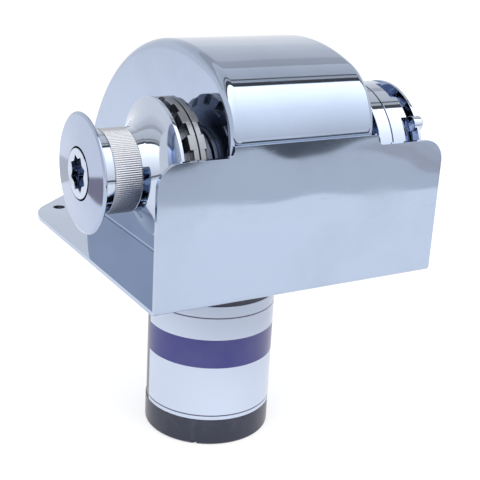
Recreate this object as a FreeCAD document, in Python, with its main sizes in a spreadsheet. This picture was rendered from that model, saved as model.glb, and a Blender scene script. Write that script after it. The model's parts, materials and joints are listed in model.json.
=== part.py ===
import FreeCAD, Part
import math
import os
import Sketcher

# Horizontal anchor windlass: a warping drum and two gypsies on one shaft,
# driven through a worm gear by a motor that hangs below the deck.
# Frame: X along the shaft, Y towards the stern side of the plate, Z up.
# The origin is the centre of the bolt pattern, in the face that lies on the deck.

DRIVING_SIZES = {
    # Base plate with its upturned guard
    "plate_half_width": 110,
    "plate_thickness": 3,
    "guard_front": 131,
    "plate_rear": 136,
    "rear_cut_across": 50,
    "rear_cut_along": 44,
    "rear_corner_radius": 40,
    "bolt_side_margin": 23,
    "bolt_end_margin": 41,
    "bolt_hole_radius": 4.5,
    "guard_notch_height": 98,
    "guard_step_height": 7,
    "guard_corner_radius": 16,
    "guard_step_radius": 5,
    "bend_radius": 4,
    # Cover shell
    "cover_left_room": 9,
    "cover_right_room": 8.5,
    "cover_sheet": 2,
    "cover_arc_behind_shaft": 31.8,
    "cover_arc_z": -2.3,
    "cover_arc_radius": 159.4,
    "cover_nose_radius": 46,
    "cover_edge_radius": 7,
    "cover_lip": 4,
    "cover_bracket": 12,
    "bracket_spacing": 48,
    "bracket_end_room": 21.2,
    # Shaft line and worm gear
    "gypsy_guard_gap": 4,
    "shaft_z": 81,
    "shaft_radius": 12,
    "shaft_end_radius": 10,
    "centre_distance": 45,
    "wheel_x": -13,
    "wheel_teeth": 40,
    "wheel_module": 1.65,
    "wheel_width": 18,
    "tooth_backlash": 0.5,
    # Gearbox
    "case_left": 49,
    "case_right": 44,
    "case_rim_wall": 8,
    "wheel_tip_gap": 3.35,
    "case_wall": 12,
    "case_boss_radius": 22,
    "case_boss_reach": 3,
    "case_pedestal": 60,
    "case_foot_height": 10,
    "case_foot_room": 7.7,
    "case_foot_rear": 22,
    "column_wall": 7,
    "column_drop": 3,
    "lid_thickness": 8,
    "gasket_thickness": 0.8,
    "bearing_wall": 5,
    "bearing_length": 13,
    "seal_width": 5,
    "running_fit": 0.05,
    "seat_fit": 0.02,
    "soft_gap": 0.3,
    "end_gap": 1,
    "hub_wall": 9.6,
    "thrust_ring_radius": 18,
    "washer_thickness": 2,
    "screw_edge": 2,
    # Worm and its column
    "worm_length": 46,
    "worm_bore_room": 4,
    "worm_shoulder": 4.5,
    "worm_bearing_height": 11,
    "worm_bearing_bottom": 22,
    "worm_cap_height": 9,
    "worm_cap_lip": 3,
    "worm_seat_wall": 1.5,
    "worm_shaft_rise": 9,
    # Warping drum and its end
    "drum_radius": 27,
    "drum_length": 45,
    "drum_gypsy_gap": 3,
    "drum_flange_radius": 45.7,
    "drum_rim": 2.5,
    "drum_neck_length": 16,
    "trumpet_radius": 25.6,
    "knurl_left_band": 6.3,
    "knurl_right_band": 4.7,
    "knurl_height": 0.6,
    "knurl_depth": 2,
    "knurl_ribs": 120,
    "end_disc_radius": 38.7,
    "end_disc_thickness": 6,
    "end_disc_crown": 1.5,
    "end_disc_rim": 1.8,
    "collar_radius": 16.1,
    "collar_height": 2,
    "collar_gap": 1.1,
    "socket_across_flats": 17.5,
    "socket_depth": 14,
    "socket_turn": 22.5,
    "stem_radius": 6,
    "drum_recess": 10,
    "thread_room": 10,
    "edge_break": 0.6,
    "takeup_gap": 3,
    "release_travel": 1.5,
    "cone_key_length": 6,
    # Gypsies
    "gypsy_left_width": 18,
    "gypsy_left_gap": 4,
    "gypsy_left_radius": 45,
    "left_seam_place": 8,
    "rim_inset_outer": 2,
    "rim_inset_inner": 4,
    "shoulder_radius": 32,
    "seam_width": 1,
    "seam_depth": 3,
    "rim_notches": 15,
    "rim_notch_width": 9,
    "rim_notch_reach": 2,
    "rim_notch_turn": 3,
    "gypsy_right_gap": 6.5,
    "gypsy_right_width": 36,
    "gypsy_right_radius": 48,
    "right_seam_place": 11,
    "gypsy_right_groove_place": 30.5,
    "groove_top": 6.6,
    "groove_bottom": 4,
    "groove_depth": 12,
    "pocket_count": 8,
    "pocket_width": 20,
    "pocket_depth": 7,
    "pocket_reach": 5.2,
    "pocket_turn": 26.5,
    "lug_count": 4,
    "lug_radius": 5.5,
    "lug_place": 44,
    "lug_step": 1.1,
    "lug_reach": 3.8,
    "lug_turn": 56,
    "cone_mouth_radius": 24,
    "cone_throat_radius": 17,
    "cone_depth": 7,
    "cone_gap": 0.45,
    # Clutch nut
    "nut_radius": 27,
    "nut_gap": 2,
    "nut_width": 14,
    "nut_round": 4,
    "nut_socket": 6,
    "nut_sockets": 6,
    # Motor
    "motor_radius": 47.7,
    "label_thickness": 0.5,
    "label_top": 27.5,
    "label_height": 91,
    "motor_cap_height": 20.8,
    "case_tube_wall": 4,
    "cap_floor": 6,
    "cap_round": 2.2,
    "notch_length": 12,
    "notch_height": 3,
    "notch_step": 2.1,
    "motor_flange_inset": 1.7,
    "motor_flange_height": 8,
    "motor_neck_inset": 13,
    "motor_pilot_radius": 24,
    "motor_screw_inset": 6.5,
    "magnet_air_gap": 1.18,
    "armature_drop": 17.5,
    "armature_length": 45,
    "rotor_shaft_radius": 6,
    "rotor_bush_wall": 3,
    "coupling_radius": 12,
    "winding_step": 3,
    "winding_height": 7,
    "commutator_radius": 14,
    "magnet_thickness": 7,
    "magnet_gap": 12,
    "brush_length": 7,
    "brush_width": 6,
    "brush_height": 12,
    "brush_spring_length": 10.5,
    "air_gap": 2,
    # Fasteners
    "small_screw_radius": 2.5,
    "medium_screw_radius": 3,
    "screw_head_ratio": 1.6,
    "terminal_radius": 4,
    "terminal_spacing": 28.6,
    "terminal_inset": 8.6,
    "terminal_reach": 14,
    "terminal_bush_radius": 7.2,
    "terminal_nut_across": 13,
    "terminal_nut_height": 4,
}

LID_SCREWS = 6
PRESSURE_ANGLE = math.radians(20)
WHEEL_ROOT_RATIO = 1.25
WORM_ROOT_RATIO = 1.2
WORM_TIP_RATIO = 0.95
# A rib rises, stays flat and falls again at these shares of its pitch.
RIB_RISE, RIB_FLAT, RIB_FALL = 0.25, 0.6, 0.85

doc = FreeCAD.newDocument("anchor_windlass")


class Size:
    """A length that carries both its number and the sheet formula behind it."""

    def __init__(self, number, formula):
        self.number = number
        self.formula = formula

    def joined(self, other, sign, number):
        formula = other.formula if isinstance(other, Size) else repr(other)
        return Size(number, f"({self.formula} {sign} {formula})")

    def __add__(self, other):
        return self.joined(other, "+", self.number + plain(other))

    def __sub__(self, other):
        return self.joined(other, "-", self.number - plain(other))

    def __mul__(self, other):
        return self.joined(other, "*", self.number * plain(other))

    def __truediv__(self, other):
        return self.joined(other, "/", self.number / plain(other))

    def __neg__(self):
        return Size(-self.number, f"(0 - {self.formula})")


def plain(value):
    """The number of a size, or the number itself."""
    return value.number if isinstance(value, Size) else value


class SizeNames:
    """The driving sizes by name."""


def make_sheet():
    """Write the driving sizes to a sheet and hand them back by name."""
    sheet = doc.addObject("Spreadsheet::Sheet", "Sizes")
    names = SizeNames()
    for row, (alias, value) in enumerate(DRIVING_SIZES.items(), start=1):
        sheet.set(f"A{row}", alias)
        sheet.set(f"B{row}", str(value))
        sheet.setAlias(f"B{row}", alias)
        setattr(names, alias, Size(value, f"Sizes.{alias}"))
    doc.recompute()
    return names


def bind(item, field, value):
    """Give a property its number, and its formula where it has one."""
    if isinstance(value, Size):
        item.setExpression(field, value.formula)
    elif "." in field:
        item.setExpression(field, repr(value))
    else:
        setattr(item, field, value)


def put(item, x=0, y=0, z=0):
    """Place an item by sizes."""
    for letter, value in (("x", x), ("y", y), ("z", z)):
        if isinstance(value, Size) or value:
            bind(item, f"Placement.Base.{letter}", value)


AXIS_TURNS = {
    "X": FreeCAD.Rotation(FreeCAD.Vector(0, 1, 0), 90),
    "Y": FreeCAD.Rotation(FreeCAD.Vector(1, 0, 0), -90),
    "Z": FreeCAD.Rotation(),
}


def label(item, name):
    """Name a finished or helper item."""
    item.Label = name
    return item


def cylinder(name, radius, height, x=0, y=0, z=0, axis="Z"):
    """A cylinder that runs from its base point along +X, +Y or +Z."""
    item = label(doc.addObject("Part::Cylinder", name), name)
    bind(item, "Radius", radius)
    bind(item, "Height", height)
    item.Placement.Rotation = AXIS_TURNS[axis]
    put(item, x, y, z)
    return item


def cone(name, radius1, radius2, height, x=0, y=0, z=0, axis="Z"):
    """A cone that runs from its base point along +X, +Y or +Z."""
    item = label(doc.addObject("Part::Cone", name), name)
    bind(item, "Radius1", radius1)
    bind(item, "Radius2", radius2)
    bind(item, "Height", height)
    item.Placement.Rotation = AXIS_TURNS[axis]
    put(item, x, y, z)
    return item


def box(name, length, width, height, x=0, y=0, z=0):
    """A box from its lowest corner."""
    item = label(doc.addObject("Part::Box", name), name)
    bind(item, "Length", length)
    bind(item, "Width", width)
    bind(item, "Height", height)
    put(item, x, y, z)
    return item


def cut(name, base, tool):
    """The base without the tool."""
    item = label(doc.addObject("Part::Cut", name), name)
    item.Base = base
    item.Tool = tool
    return item


def fuse(name, pieces):
    """Several pieces as one solid."""
    item = label(doc.addObject("Part::MultiFuse", name), name)
    item.Shapes = pieces
    item.Refine = True
    return item


def group(name, pieces):
    """Several separate solids that share one node."""
    item = label(doc.addObject("Part::Compound", name), name)
    item.Links = pieces
    return item


def origin_plane(body, role):
    """An origin plane or axis of a body, by its role."""
    return [part for part in body.Origin.OriginFeatures if part.Role == role][0]


def pin_point(sketch, line, end, across, up):
    """Fix a point of a sketch at its two sizes."""
    for kind, axis, value in (("DistanceX", -2, across), ("DistanceY", -1, up)):
        if plain(value) == 0:
            sketch.addConstraint(Sketcher.Constraint("PointOnObject", line, end, axis))
            continue
        number = sketch.addConstraint(
            Sketcher.Constraint(kind, -1, 1, line, end, float(plain(value))))
        if isinstance(value, Size):
            sketch.setExpression(f"Constraints[{number}]", value.formula)


class Bulge:
    """An arc to the next point of an outline, given by its radius and its side."""

    def __init__(self, radius, left=True):
        self.radius = radius
        self.left = left


def arc_between(start, end, bulge):
    """The short arc from start to end that lies to the left or right of the chord."""
    chord = end - start
    half = chord.Length / 2
    radius = plain(bulge.radius)
    rise = radius - math.sqrt(radius ** 2 - half ** 2)
    side = FreeCAD.Vector(-chord.y, chord.x, 0).normalize()
    middle = (start + end) / 2 + side * (rise if bulge.left else -rise)
    return Part.Arc(start, middle, end)


def outline(body, role, points, name="outline"):
    """A closed sketch on an origin plane, from points and arcs between them."""
    sketch = body.newObject("Sketcher::SketchObject", name)
    sketch.AttachmentSupport = [(origin_plane(body, role), "")]
    sketch.MapMode = "FlatFace"
    corners = [point for point in points if not isinstance(point, Bulge)]
    arcs = {}
    seen = -1
    for point in points:
        if isinstance(point, Bulge):
            arcs[seen] = point
        else:
            seen += 1
    places = [FreeCAD.Vector(plain(a), plain(b), 0) for a, b in corners]
    count = len(corners)
    starts = []
    ends = []
    for index in range(count):
        start, end = places[index], places[(index + 1) % count]
        if index in arcs:
            arc = arc_between(start, end, arcs[index])
            sketch.addGeometry(arc, False)
            at_start = sketch.getPoint(index, 1).distanceToPoint(start) < 1e-6
            starts.append(1 if at_start else 2)
            ends.append(2 if at_start else 1)
        else:
            sketch.addGeometry(Part.LineSegment(start, end), False)
            starts.append(1)
            ends.append(2)
    for index in range(count):
        following = (index + 1) % count
        sketch.addConstraint(Sketcher.Constraint(
            "Coincident", index, ends[index], following, starts[following]))
    for index, (across, up) in enumerate(corners):
        pin_point(sketch, index, starts[index], across, up)
    for index, bulge in arcs.items():
        number = sketch.addConstraint(
            Sketcher.Constraint("Radius", index, float(plain(bulge.radius))))
        if isinstance(bulge.radius, Size):
            sketch.setExpression(f"Constraints[{number}]", bulge.radius.formula)
    return sketch


def new_body(name):
    """An empty body."""
    return label(doc.addObject("PartDesign::Body", name), name)


def turned(name, points, axis="X", x=0, y=0, z=0):
    """A turned body: the outline gives places along its axis and radii."""
    body = new_body(name)
    role, edge = ("XY_Plane", "H_Axis") if axis == "X" else ("XZ_Plane", "V_Axis")
    sketch = outline(body, role, points)
    turn = body.newObject("PartDesign::Revolution", "turned")
    turn.Profile = sketch
    turn.ReferenceAxis = (sketch, [edge])
    turn.Angle = 360
    body.Tip = turn
    put(body, x, y, z)
    return body


def ring_on_shaft(name, left, right, bore, radius):
    """A plain ring on the shaft line."""
    points = [(left, bore), (right, bore), (right, radius), (left, radius)]
    return turned(name, points, "X", 0, s.shaft_y, s.shaft_z)


def ring_on_motor(name, low, high, bore, radius):
    """A plain ring on the motor's line."""
    points = [(bore, low), (radius, low), (radius, high), (bore, high)]
    return turned(name, points, "Z", s.wheel_x, s.worm_y, 0)


def rod_on_motor(name, low, high, radius):
    """A plain rod on the motor's line."""
    return turned(name, [(0, low), (radius, low), (radius, high), (0, high)],
                  "Z", s.wheel_x, s.worm_y, 0)


def pad(body, sketch, length, reverse=False):
    """Give a sketch its thickness."""
    item = body.newObject("PartDesign::Pad", "pad")
    item.Profile = sketch
    bind(item, "Length", length)
    item.Reversed = reverse
    body.Tip = item



def countersunk(name, x, y, z, radius, length):
    """A flat-headed screw driven upwards, its head face at z."""
    head = cone(f"{name}_head", radius * 2, radius, radius, x, y, z)
    shank = cylinder(f"{name}_shank", radius, length, x, y, z)
    return fuse(name, [head, shank])


def countersink(name, x, y, z, radius, length):
    """The hole that a flat-headed screw sits in."""
    gap = s.soft_gap
    head = cone(f"{name}_head", radius * 2 + gap, radius + gap, radius, x, y, z)
    shank = cylinder(f"{name}_shank", radius + gap, length, x, y, z)
    return fuse(name, [head, shank])


s = make_sheet()


def add_deck_sizes():
    """Sizes of the plate, guard and cover that follow from the driving ones."""
    s.shaft_y = s.gypsy_right_radius + s.gypsy_guard_gap + s.plate_thickness - s.guard_front
    s.bolt_across = s.plate_half_width - s.bolt_side_margin
    s.bolt_along = s.plate_rear - s.bolt_end_margin
    s.guard_centre_height = s.guard_notch_height + s.guard_step_height
    s.cover_left = s.case_left + s.cover_left_room
    s.cover_right = s.case_right + s.cover_right_room
    s.cover_front = s.guard_front - s.plate_thickness - s.soft_gap
    s.cover_arc_y = s.shaft_y + s.cover_arc_behind_shaft


def add_gear_sizes():
    """Sizes of the gearbox that follow from the wheel, the worm and the shaft."""
    s.worm_y = s.shaft_y + s.centre_distance
    s.wheel_pitch_radius = s.wheel_module * s.wheel_teeth / 2
    s.worm_pitch_radius = s.centre_distance - s.wheel_pitch_radius
    s.worm_bore_radius = s.worm_pitch_radius + s.worm_bore_room
    s.worm_bearing_radius = s.worm_bore_radius + s.worm_seat_wall
    s.worm_shaft_radius = s.worm_pitch_radius - s.worm_shoulder
    s.case_cavity_radius = s.wheel_pitch_radius + s.wheel_module + s.wheel_tip_gap
    s.case_radius = s.case_cavity_radius + s.case_rim_wall
    s.lid_screw_circle = s.case_radius - s.case_rim_wall / 2
    s.lid_inside = s.case_right - s.lid_thickness
    s.case_end = s.lid_inside - s.gasket_thickness
    s.case_foot_front = s.cover_front - s.case_foot_room
    s.column_radius = s.worm_bore_radius + s.column_wall
    s.column_top = s.shaft_z + s.case_radius - s.column_drop
    s.boss_left = -s.cover_left - s.case_boss_reach
    s.boss_right = s.cover_right + s.case_boss_reach
    s.shaft_bore = s.shaft_radius + s.bearing_wall + s.seat_fit
    s.hub_radius = s.shaft_radius + s.hub_wall


def add_shaft_line_sizes():
    """Places along the shaft, one after the other from the gearbox outwards."""
    s.gypsy_left_inner = s.gypsy_left_gap - s.boss_left
    s.gypsy_left_outer = s.gypsy_left_inner + s.gypsy_left_width
    s.drum_right = s.gypsy_left_outer + s.drum_gypsy_gap
    s.drum_neck = s.drum_right + s.drum_neck_length
    s.drum_left = s.drum_right + s.drum_length
    s.knurl_left = s.drum_left - s.knurl_left_band
    s.knurl_right = s.drum_neck + s.knurl_right_band
    s.end_disc_left = s.drum_left + s.end_disc_thickness
    s.collar_left = s.end_disc_left + s.collar_height
    s.drum_floor = s.drum_left - s.drum_recess
    s.hollow_end = -s.gypsy_left_outer - s.thread_room
    s.gypsy_right_inner = s.boss_right + s.gypsy_right_gap
    s.gypsy_right_outer = s.gypsy_right_inner + s.gypsy_right_width
    s.gypsy_left_seam = s.left_seam_place - s.gypsy_left_outer
    s.gypsy_right_seam = s.gypsy_right_inner + s.right_seam_place
    s.gypsy_right_groove = s.gypsy_right_inner + s.gypsy_right_groove_place
    s.groove_floor_radius = s.gypsy_left_radius - s.groove_depth
    s.pocket_floor_radius = s.gypsy_left_radius - s.pocket_depth
    s.nut_left = s.gypsy_right_outer + s.nut_gap
    s.nut_right = s.nut_left + s.nut_width
    s.shaft_right = s.nut_right - s.nut_round
    s.key_size = s.stem_radius
    s.cone_tip_radius = s.cone_mouth_radius - s.cone_gap - (
        s.cone_mouth_radius - s.cone_throat_radius) * (s.cone_depth - s.end_gap) / s.cone_depth


def add_motor_sizes():
    """Sizes of the motor that follow from its outside and its own fits."""
    s.label_bottom = s.label_top + s.label_height
    s.motor_bottom = s.label_bottom + s.motor_cap_height
    s.armature_top = s.label_top + s.armature_drop
    s.armature_bottom = s.armature_top + s.armature_length
    s.case_radius_out = s.motor_radius - s.label_thickness
    s.case_radius_in = s.case_radius_out - s.case_tube_wall
    s.spigot_radius = s.case_radius_in - s.seat_fit
    s.armature_radius = s.spigot_radius - s.magnet_thickness - s.magnet_air_gap
    s.motor_flange_radius = s.motor_radius - s.motor_flange_inset
    s.motor_neck_radius = s.motor_flange_radius - s.motor_neck_inset
    s.motor_screw_circle = s.motor_flange_radius - s.motor_screw_inset
    s.notch_offset = s.motor_radius * math.sqrt(0.5) + s.notch_step
    s.rotor_bush_radius = s.rotor_shaft_radius + s.rotor_bush_wall
    s.terminal_z = (s.motor_bottom + s.label_bottom) / -2 + s.end_gap


add_deck_sizes()
add_gear_sizes()
add_shaft_line_sizes()
add_motor_sizes()


def foot_screw_spots():
    """Where the gearbox foot is screwed to the plate."""
    inset = s.medium_screw_radius * 2 + s.screw_edge
    left = -s.case_left + inset
    right = s.case_right - s.lid_thickness - inset
    front = -s.case_foot_front + inset
    rear = s.case_foot_rear - inset
    return [(left, front), (right, front), (left, rear), (right, rear)]


def bracket_spots():
    """Where the brackets inside the cover stand: two on each side wall."""
    half = s.cover_bracket / 2
    left = -s.cover_left + s.cover_sheet + half
    right = s.cover_right - s.cover_sheet - half
    rear = s.cover_arc_y + s.cover_arc_radius - s.bracket_end_room
    front = rear - s.bracket_spacing
    return [(left, front), (right, front), (left, rear), (right, rear)]


def base_plate():
    """Deck plate with the guard bent up from its front edge."""
    body = new_body("plate_bent")
    wide = s.plate_half_width
    plan = outline(body, "XY_Plane", [
        (-wide, -s.guard_front), (wide, -s.guard_front),
        (wide, s.plate_rear - s.rear_cut_along),
        (wide - s.rear_cut_across, s.plate_rear),
        (-wide + s.rear_cut_across, s.plate_rear),
        (-wide, s.plate_rear - s.rear_cut_along)], "plan")
    pad(body, plan, s.plate_thickness)
    top = s.guard_notch_height
    raised = s.guard_centre_height
    left, right = -s.cover_left, s.cover_right
    front = outline(body, "XZ_Plane", [
        (-wide, s.plate_thickness), (wide, s.plate_thickness), (wide, top), (right, top),
        (right, raised), (left, raised), (left, top), (-wide, top)], "front")
    front.AttachmentOffset = FreeCAD.Placement(
        FreeCAD.Vector(0, 0, plain(s.guard_front)), FreeCAD.Rotation())
    front.setExpression("AttachmentOffset.Base.z", s.guard_front.formula)
    pad(body, front, s.plate_thickness, reverse=True)
    doc.recompute()
    round_edges(body, s.guard_corner_radius, "guard_corners",
                lambda edge: is_along(edge, "Y") and abs(edge.CenterOfMass.z - plain(top)) < 0.1
                and abs(edge.CenterOfMass.x) > plain(wide) - 0.1)
    round_edges(body, s.guard_step_radius, "guard_steps",
                lambda edge: is_along(edge, "Y") and abs(edge.CenterOfMass.z - plain(top)) < 0.1
                and plain(s.cover_right) - 1 < abs(edge.CenterOfMass.x) < plain(wide) / 1.5)
    round_edges(body, s.rear_corner_radius, "rear_corners",
                lambda edge: is_along(edge, "Z") and edge.Length < plain(s.plate_thickness) + 0.1
                and abs(edge.CenterOfMass.x) > plain(wide) - 0.1
                and edge.CenterOfMass.y > 0)
    round_edges(body, s.rear_corner_radius, "tail_corners",
                lambda edge: is_along(edge, "Z") and edge.Length < plain(s.plate_thickness) + 0.1
                and abs(edge.CenterOfMass.y - plain(s.plate_rear)) < 0.1)
    round_edges(body, s.bend_radius, "bend",
                lambda edge: is_along(edge, "X") and abs(edge.CenterOfMass.z) < 0.01
                and abs(edge.CenterOfMass.y + plain(s.guard_front)) < 0.01)
    holes = [cylinder(f"bolt_hole_{i}", s.bolt_hole_radius, s.plate_thickness, x, y, 0)
             for i, (x, y) in enumerate([(-s.bolt_across, -s.bolt_along), (s.bolt_across, -s.bolt_along),
                                         (-s.bolt_across, s.bolt_along), (s.bolt_across, s.bolt_along)])]
    holes.append(cylinder("pilot_hole", s.motor_pilot_radius + s.running_fit, s.plate_thickness,
                          s.wheel_x, s.worm_y, 0))
    holes += [countersink(f"foot_hole_{i}", x, y, 0, s.medium_screw_radius, s.plate_thickness)
              for i, (x, y) in enumerate(foot_screw_spots())]
    holes += [countersink(f"cover_hole_{i}", x, y, 0, s.small_screw_radius, s.plate_thickness)
              for i, (x, y) in enumerate(bracket_spots())]
    holes += [cylinder(f"motor_hole_{i}", s.medium_screw_radius + s.soft_gap, s.plate_thickness, x, y, 0)
              for i, (x, y) in enumerate(motor_screw_spots())]
    return cut("base_plate", body, fuse("plate_holes", holes))


def is_along(edge, letter):
    """Whether a straight edge runs along an axis."""
    if len(edge.Vertexes) != 2:
        return False
    span = edge.Vertexes[1].Point - edge.Vertexes[0].Point
    parts = {"X": abs(span.x), "Y": abs(span.y), "Z": abs(span.z)}
    return parts[letter] > span.Length - 1e-6 and isinstance(edge.Curve, Part.Line)


def round_edges(body, radius, name, chosen):
    """Round the edges of a body's last feature that a test picks."""
    last = body.Tip
    picked = [f"Edge{i}" for i, edge in enumerate(last.Shape.Edges, start=1) if chosen(edge)]
    if not picked:
        raise ValueError(f"no edge found for {name}")
    item = body.newObject("PartDesign::Fillet", name)
    item.Base = (last, picked)
    bind(item, "Radius", radius)
    body.Tip = item
    doc.recompute()
    return item


def cover_side(body, inset):
    """The side outline of the cover: a long arc, a tight nose and an upright front."""
    sketch = body.newObject("Sketcher::SketchObject", "side")
    sketch.AttachmentSupport = [(origin_plane(body, "YZ_Plane"), "")]
    sketch.MapMode = "FlatFace"
    radius = s.cover_arc_radius - inset
    nose = s.cover_nose_radius - inset
    front = -s.cover_front + inset
    floor = s.plate_thickness
    centre = FreeCAD.Vector(plain(s.cover_arc_y), plain(s.cover_arc_z), 0)
    reach = plain(radius) - plain(nose)
    across = plain(front) + plain(nose) - centre.x
    nose_centre = centre + FreeCAD.Vector(across, math.sqrt(reach ** 2 - across ** 2), 0)
    join = centre + (nose_centre - centre).normalize() * plain(radius)
    low = plain(floor)
    rear = FreeCAD.Vector(
        centre.x + math.sqrt(plain(radius) ** 2 - (low - centre.y) ** 2), low, 0)
    corner = FreeCAD.Vector(plain(front), low, 0)
    tangent = FreeCAD.Vector(plain(front), nose_centre.y, 0)
    axis = FreeCAD.Vector(0, 0, 1)
    start = math.atan2(rear.y - centre.y, rear.x - centre.x)
    meet = math.atan2(join.y - centre.y, join.x - centre.x)
    long_arc = Part.ArcOfCircle(Part.Circle(centre, axis, plain(radius)), start, meet)
    nose_arc = Part.ArcOfCircle(Part.Circle(nose_centre, axis, plain(nose)), meet, math.pi)
    sketch.addGeometry(long_arc, False)
    sketch.addGeometry(nose_arc, False)
    sketch.addGeometry(Part.LineSegment(tangent, corner), False)
    sketch.addGeometry(Part.LineSegment(corner, rear), False)
    sketch.addConstraint(Sketcher.Constraint("Tangent", 0, 2, 1, 1))
    sketch.addConstraint(Sketcher.Constraint("Tangent", 1, 2, 2, 1))
    sketch.addConstraint(Sketcher.Constraint("Coincident", 2, 2, 3, 1))
    sketch.addConstraint(Sketcher.Constraint("Coincident", 3, 2, 0, 1))
    sketch.addConstraint(Sketcher.Constraint("Vertical", 2))
    sketch.addConstraint(Sketcher.Constraint("Horizontal", 3))
    pin_point(sketch, 0, 3, s.cover_arc_y, s.cover_arc_z)
    pin_point(sketch, 2, 2, front, floor)
    for index, value in ((0, radius), (1, nose)):
        number = sketch.addConstraint(Sketcher.Constraint("Radius", index, plain(value)))
        sketch.setExpression(f"Constraints[{number}]", value.formula)
    return sketch


def cover_block(name, inset):
    """A solid block of the cover's form, smaller all round by the inset."""
    body = new_body(name)
    sketch = cover_side(body, inset)
    left = s.cover_left - inset
    length = s.cover_left + s.cover_right - inset * 2
    sketch.AttachmentOffset = FreeCAD.Placement(
        FreeCAD.Vector(0, 0, -plain(left)), FreeCAD.Rotation())
    sketch.setExpression("AttachmentOffset.Base.z", (-left).formula)
    pad(body, sketch, length)
    doc.recompute()
    low = plain(s.plate_thickness)

    def on_side_rim(edge):
        at_wall = min(abs(edge.CenterOfMass.x + plain(left)),
                      abs(edge.CenterOfMass.x - (plain(length) - plain(left)))) < 0.01
        return at_wall and edge.CenterOfMass.z > low + 0.01

    round_edges(body, s.cover_edge_radius - inset, "rim", on_side_rim)
    return body


def housing_cover():
    """Polished cover shell with flat side walls and a foot lip."""
    outside = cover_block("cover_outside", Size(0, "0"))
    inside = cover_block("cover_inside", s.cover_sheet)
    lip = s.cover_lip
    front = -s.cover_front
    rear = s.cover_arc_y + s.cover_arc_radius + lip
    foot = box("cover_foot", s.cover_left + s.cover_right + lip * 2, rear - front,
               s.cover_sheet, -s.cover_left - lip, front, s.plate_thickness)
    shell = cut("cover_shell", fuse("cover_with_foot", [outside, foot]), inside)
    hole_radius = s.case_boss_radius + s.soft_gap
    length = s.cover_left + s.cover_right
    hole = cylinder("cover_shaft_hole", hole_radius, length, -s.cover_left, s.shaft_y, s.shaft_z, "X")
    return cut("housing_cover", shell, hole)


def cover_fixings():
    """Brackets inside the cover and the screws that hold them from below."""
    half = s.cover_bracket / 2
    blocks = []
    screws = []
    reach = s.cover_bracket
    for index, (x, y) in enumerate(bracket_spots()):
        block = box(f"bracket_block_{index}", s.cover_bracket, s.cover_bracket, s.cover_bracket,
                    x - half, y - half, s.plate_thickness)
        hole = cylinder(f"bracket_bore_{index}", s.small_screw_radius + s.seat_fit, reach,
                        x, y, s.plate_thickness)
        blocks.append(cut(f"bracket_{index}", block, hole))
        screws.append(countersunk(f"cover_screw_{index}", x, y, 0, s.small_screw_radius, reach))
    return [group("cover_brackets", blocks), group("cover_screws", screws)]


def motor_screw_spots():
    """Four places round the motor's line, on the diagonals."""
    step = s.motor_screw_circle * math.sqrt(0.5)
    return [(s.wheel_x - step, s.worm_y - step), (s.wheel_x + step, s.worm_y - step),
            (s.wheel_x - step, s.worm_y + step), (s.wheel_x + step, s.worm_y + step)]


def lid_screw_spots():
    """Six places round the shaft, as pairs of Y and Z sizes."""
    spots = []
    for index in range(LID_SCREWS):
        angle = 2 * math.pi * (index + 0.5) / LID_SCREWS
        spots.append((s.shaft_y + s.lid_screw_circle * math.cos(angle),
                      s.shaft_z + s.lid_screw_circle * math.sin(angle)))
    return spots


def gearbox_case():
    """Cast case: foot, pedestal, shaft barrel and worm column."""
    left = -s.case_left
    length = s.case_left + s.case_end
    foot_z = s.plate_thickness
    foot = box("case_foot", length, s.case_foot_front + s.case_foot_rear, s.case_foot_height,
               left, -s.case_foot_front, foot_z)
    pedestal = box("case_pedestal_block", length, s.case_pedestal, s.shaft_z - foot_z,
                   left, s.shaft_y - s.case_pedestal / 2, foot_z)
    barrel = cylinder("case_barrel", s.case_radius, length, left, s.shaft_y, s.shaft_z, "X")
    column = cylinder("case_column", s.column_radius, s.column_top - foot_z, s.wheel_x, s.worm_y, foot_z)
    boss_length = left - s.boss_left + s.case_wall
    boss = cylinder("case_boss", s.case_boss_radius, boss_length, s.boss_left, s.shaft_y, s.shaft_z, "X")
    body = fuse("case_casting", [foot, pedestal, barrel, column, boss])
    hollows = [
        cylinder("case_cavity", s.case_cavity_radius, length - s.case_wall,
                 left + s.case_wall, s.shaft_y, s.shaft_z, "X"),
        cylinder("case_bore", s.shaft_bore, boss_length, s.boss_left, s.shaft_y, s.shaft_z, "X"),
        cylinder("case_worm_bore", s.worm_bore_radius, s.column_top - foot_z,
                 s.wheel_x, s.worm_y, foot_z),
        cylinder("case_lower_seat", s.worm_bearing_radius + s.seat_fit,
                 s.worm_bearing_bottom + s.worm_bearing_height - foot_z,
                 s.wheel_x, s.worm_y, foot_z),
        cylinder("case_upper_seat", s.worm_bearing_radius + s.seat_fit,
                 s.worm_bearing_height + s.worm_cap_height,
                 s.wheel_x, s.worm_y, s.column_top - s.worm_bearing_height - s.worm_cap_height),
    ]
    hollows += [cylinder(f"case_foot_thread_{i}", s.medium_screw_radius + s.seat_fit,
                         s.case_foot_height, x, y, foot_z)
                for i, (x, y) in enumerate(foot_screw_spots())]
    hollows += [cylinder(f"case_motor_thread_{i}", s.medium_screw_radius + s.seat_fit,
                         s.case_foot_height, x, y, foot_z)
                for i, (x, y) in enumerate(motor_screw_spots())]
    hollows += [cylinder(f"case_lid_thread_{i}", s.small_screw_radius + s.seat_fit, s.case_wall,
                         s.case_end - s.case_wall, y, z, "X")
                for i, (y, z) in enumerate(lid_screw_spots())]
    hollows.append(cylinder("case_plug_thread", s.terminal_radius + s.seat_fit, s.case_radius,
                            s.wheel_x, s.shaft_y, s.shaft_z))
    return cut("gearbox_case", body, fuse("case_hollows", hollows))


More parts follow.
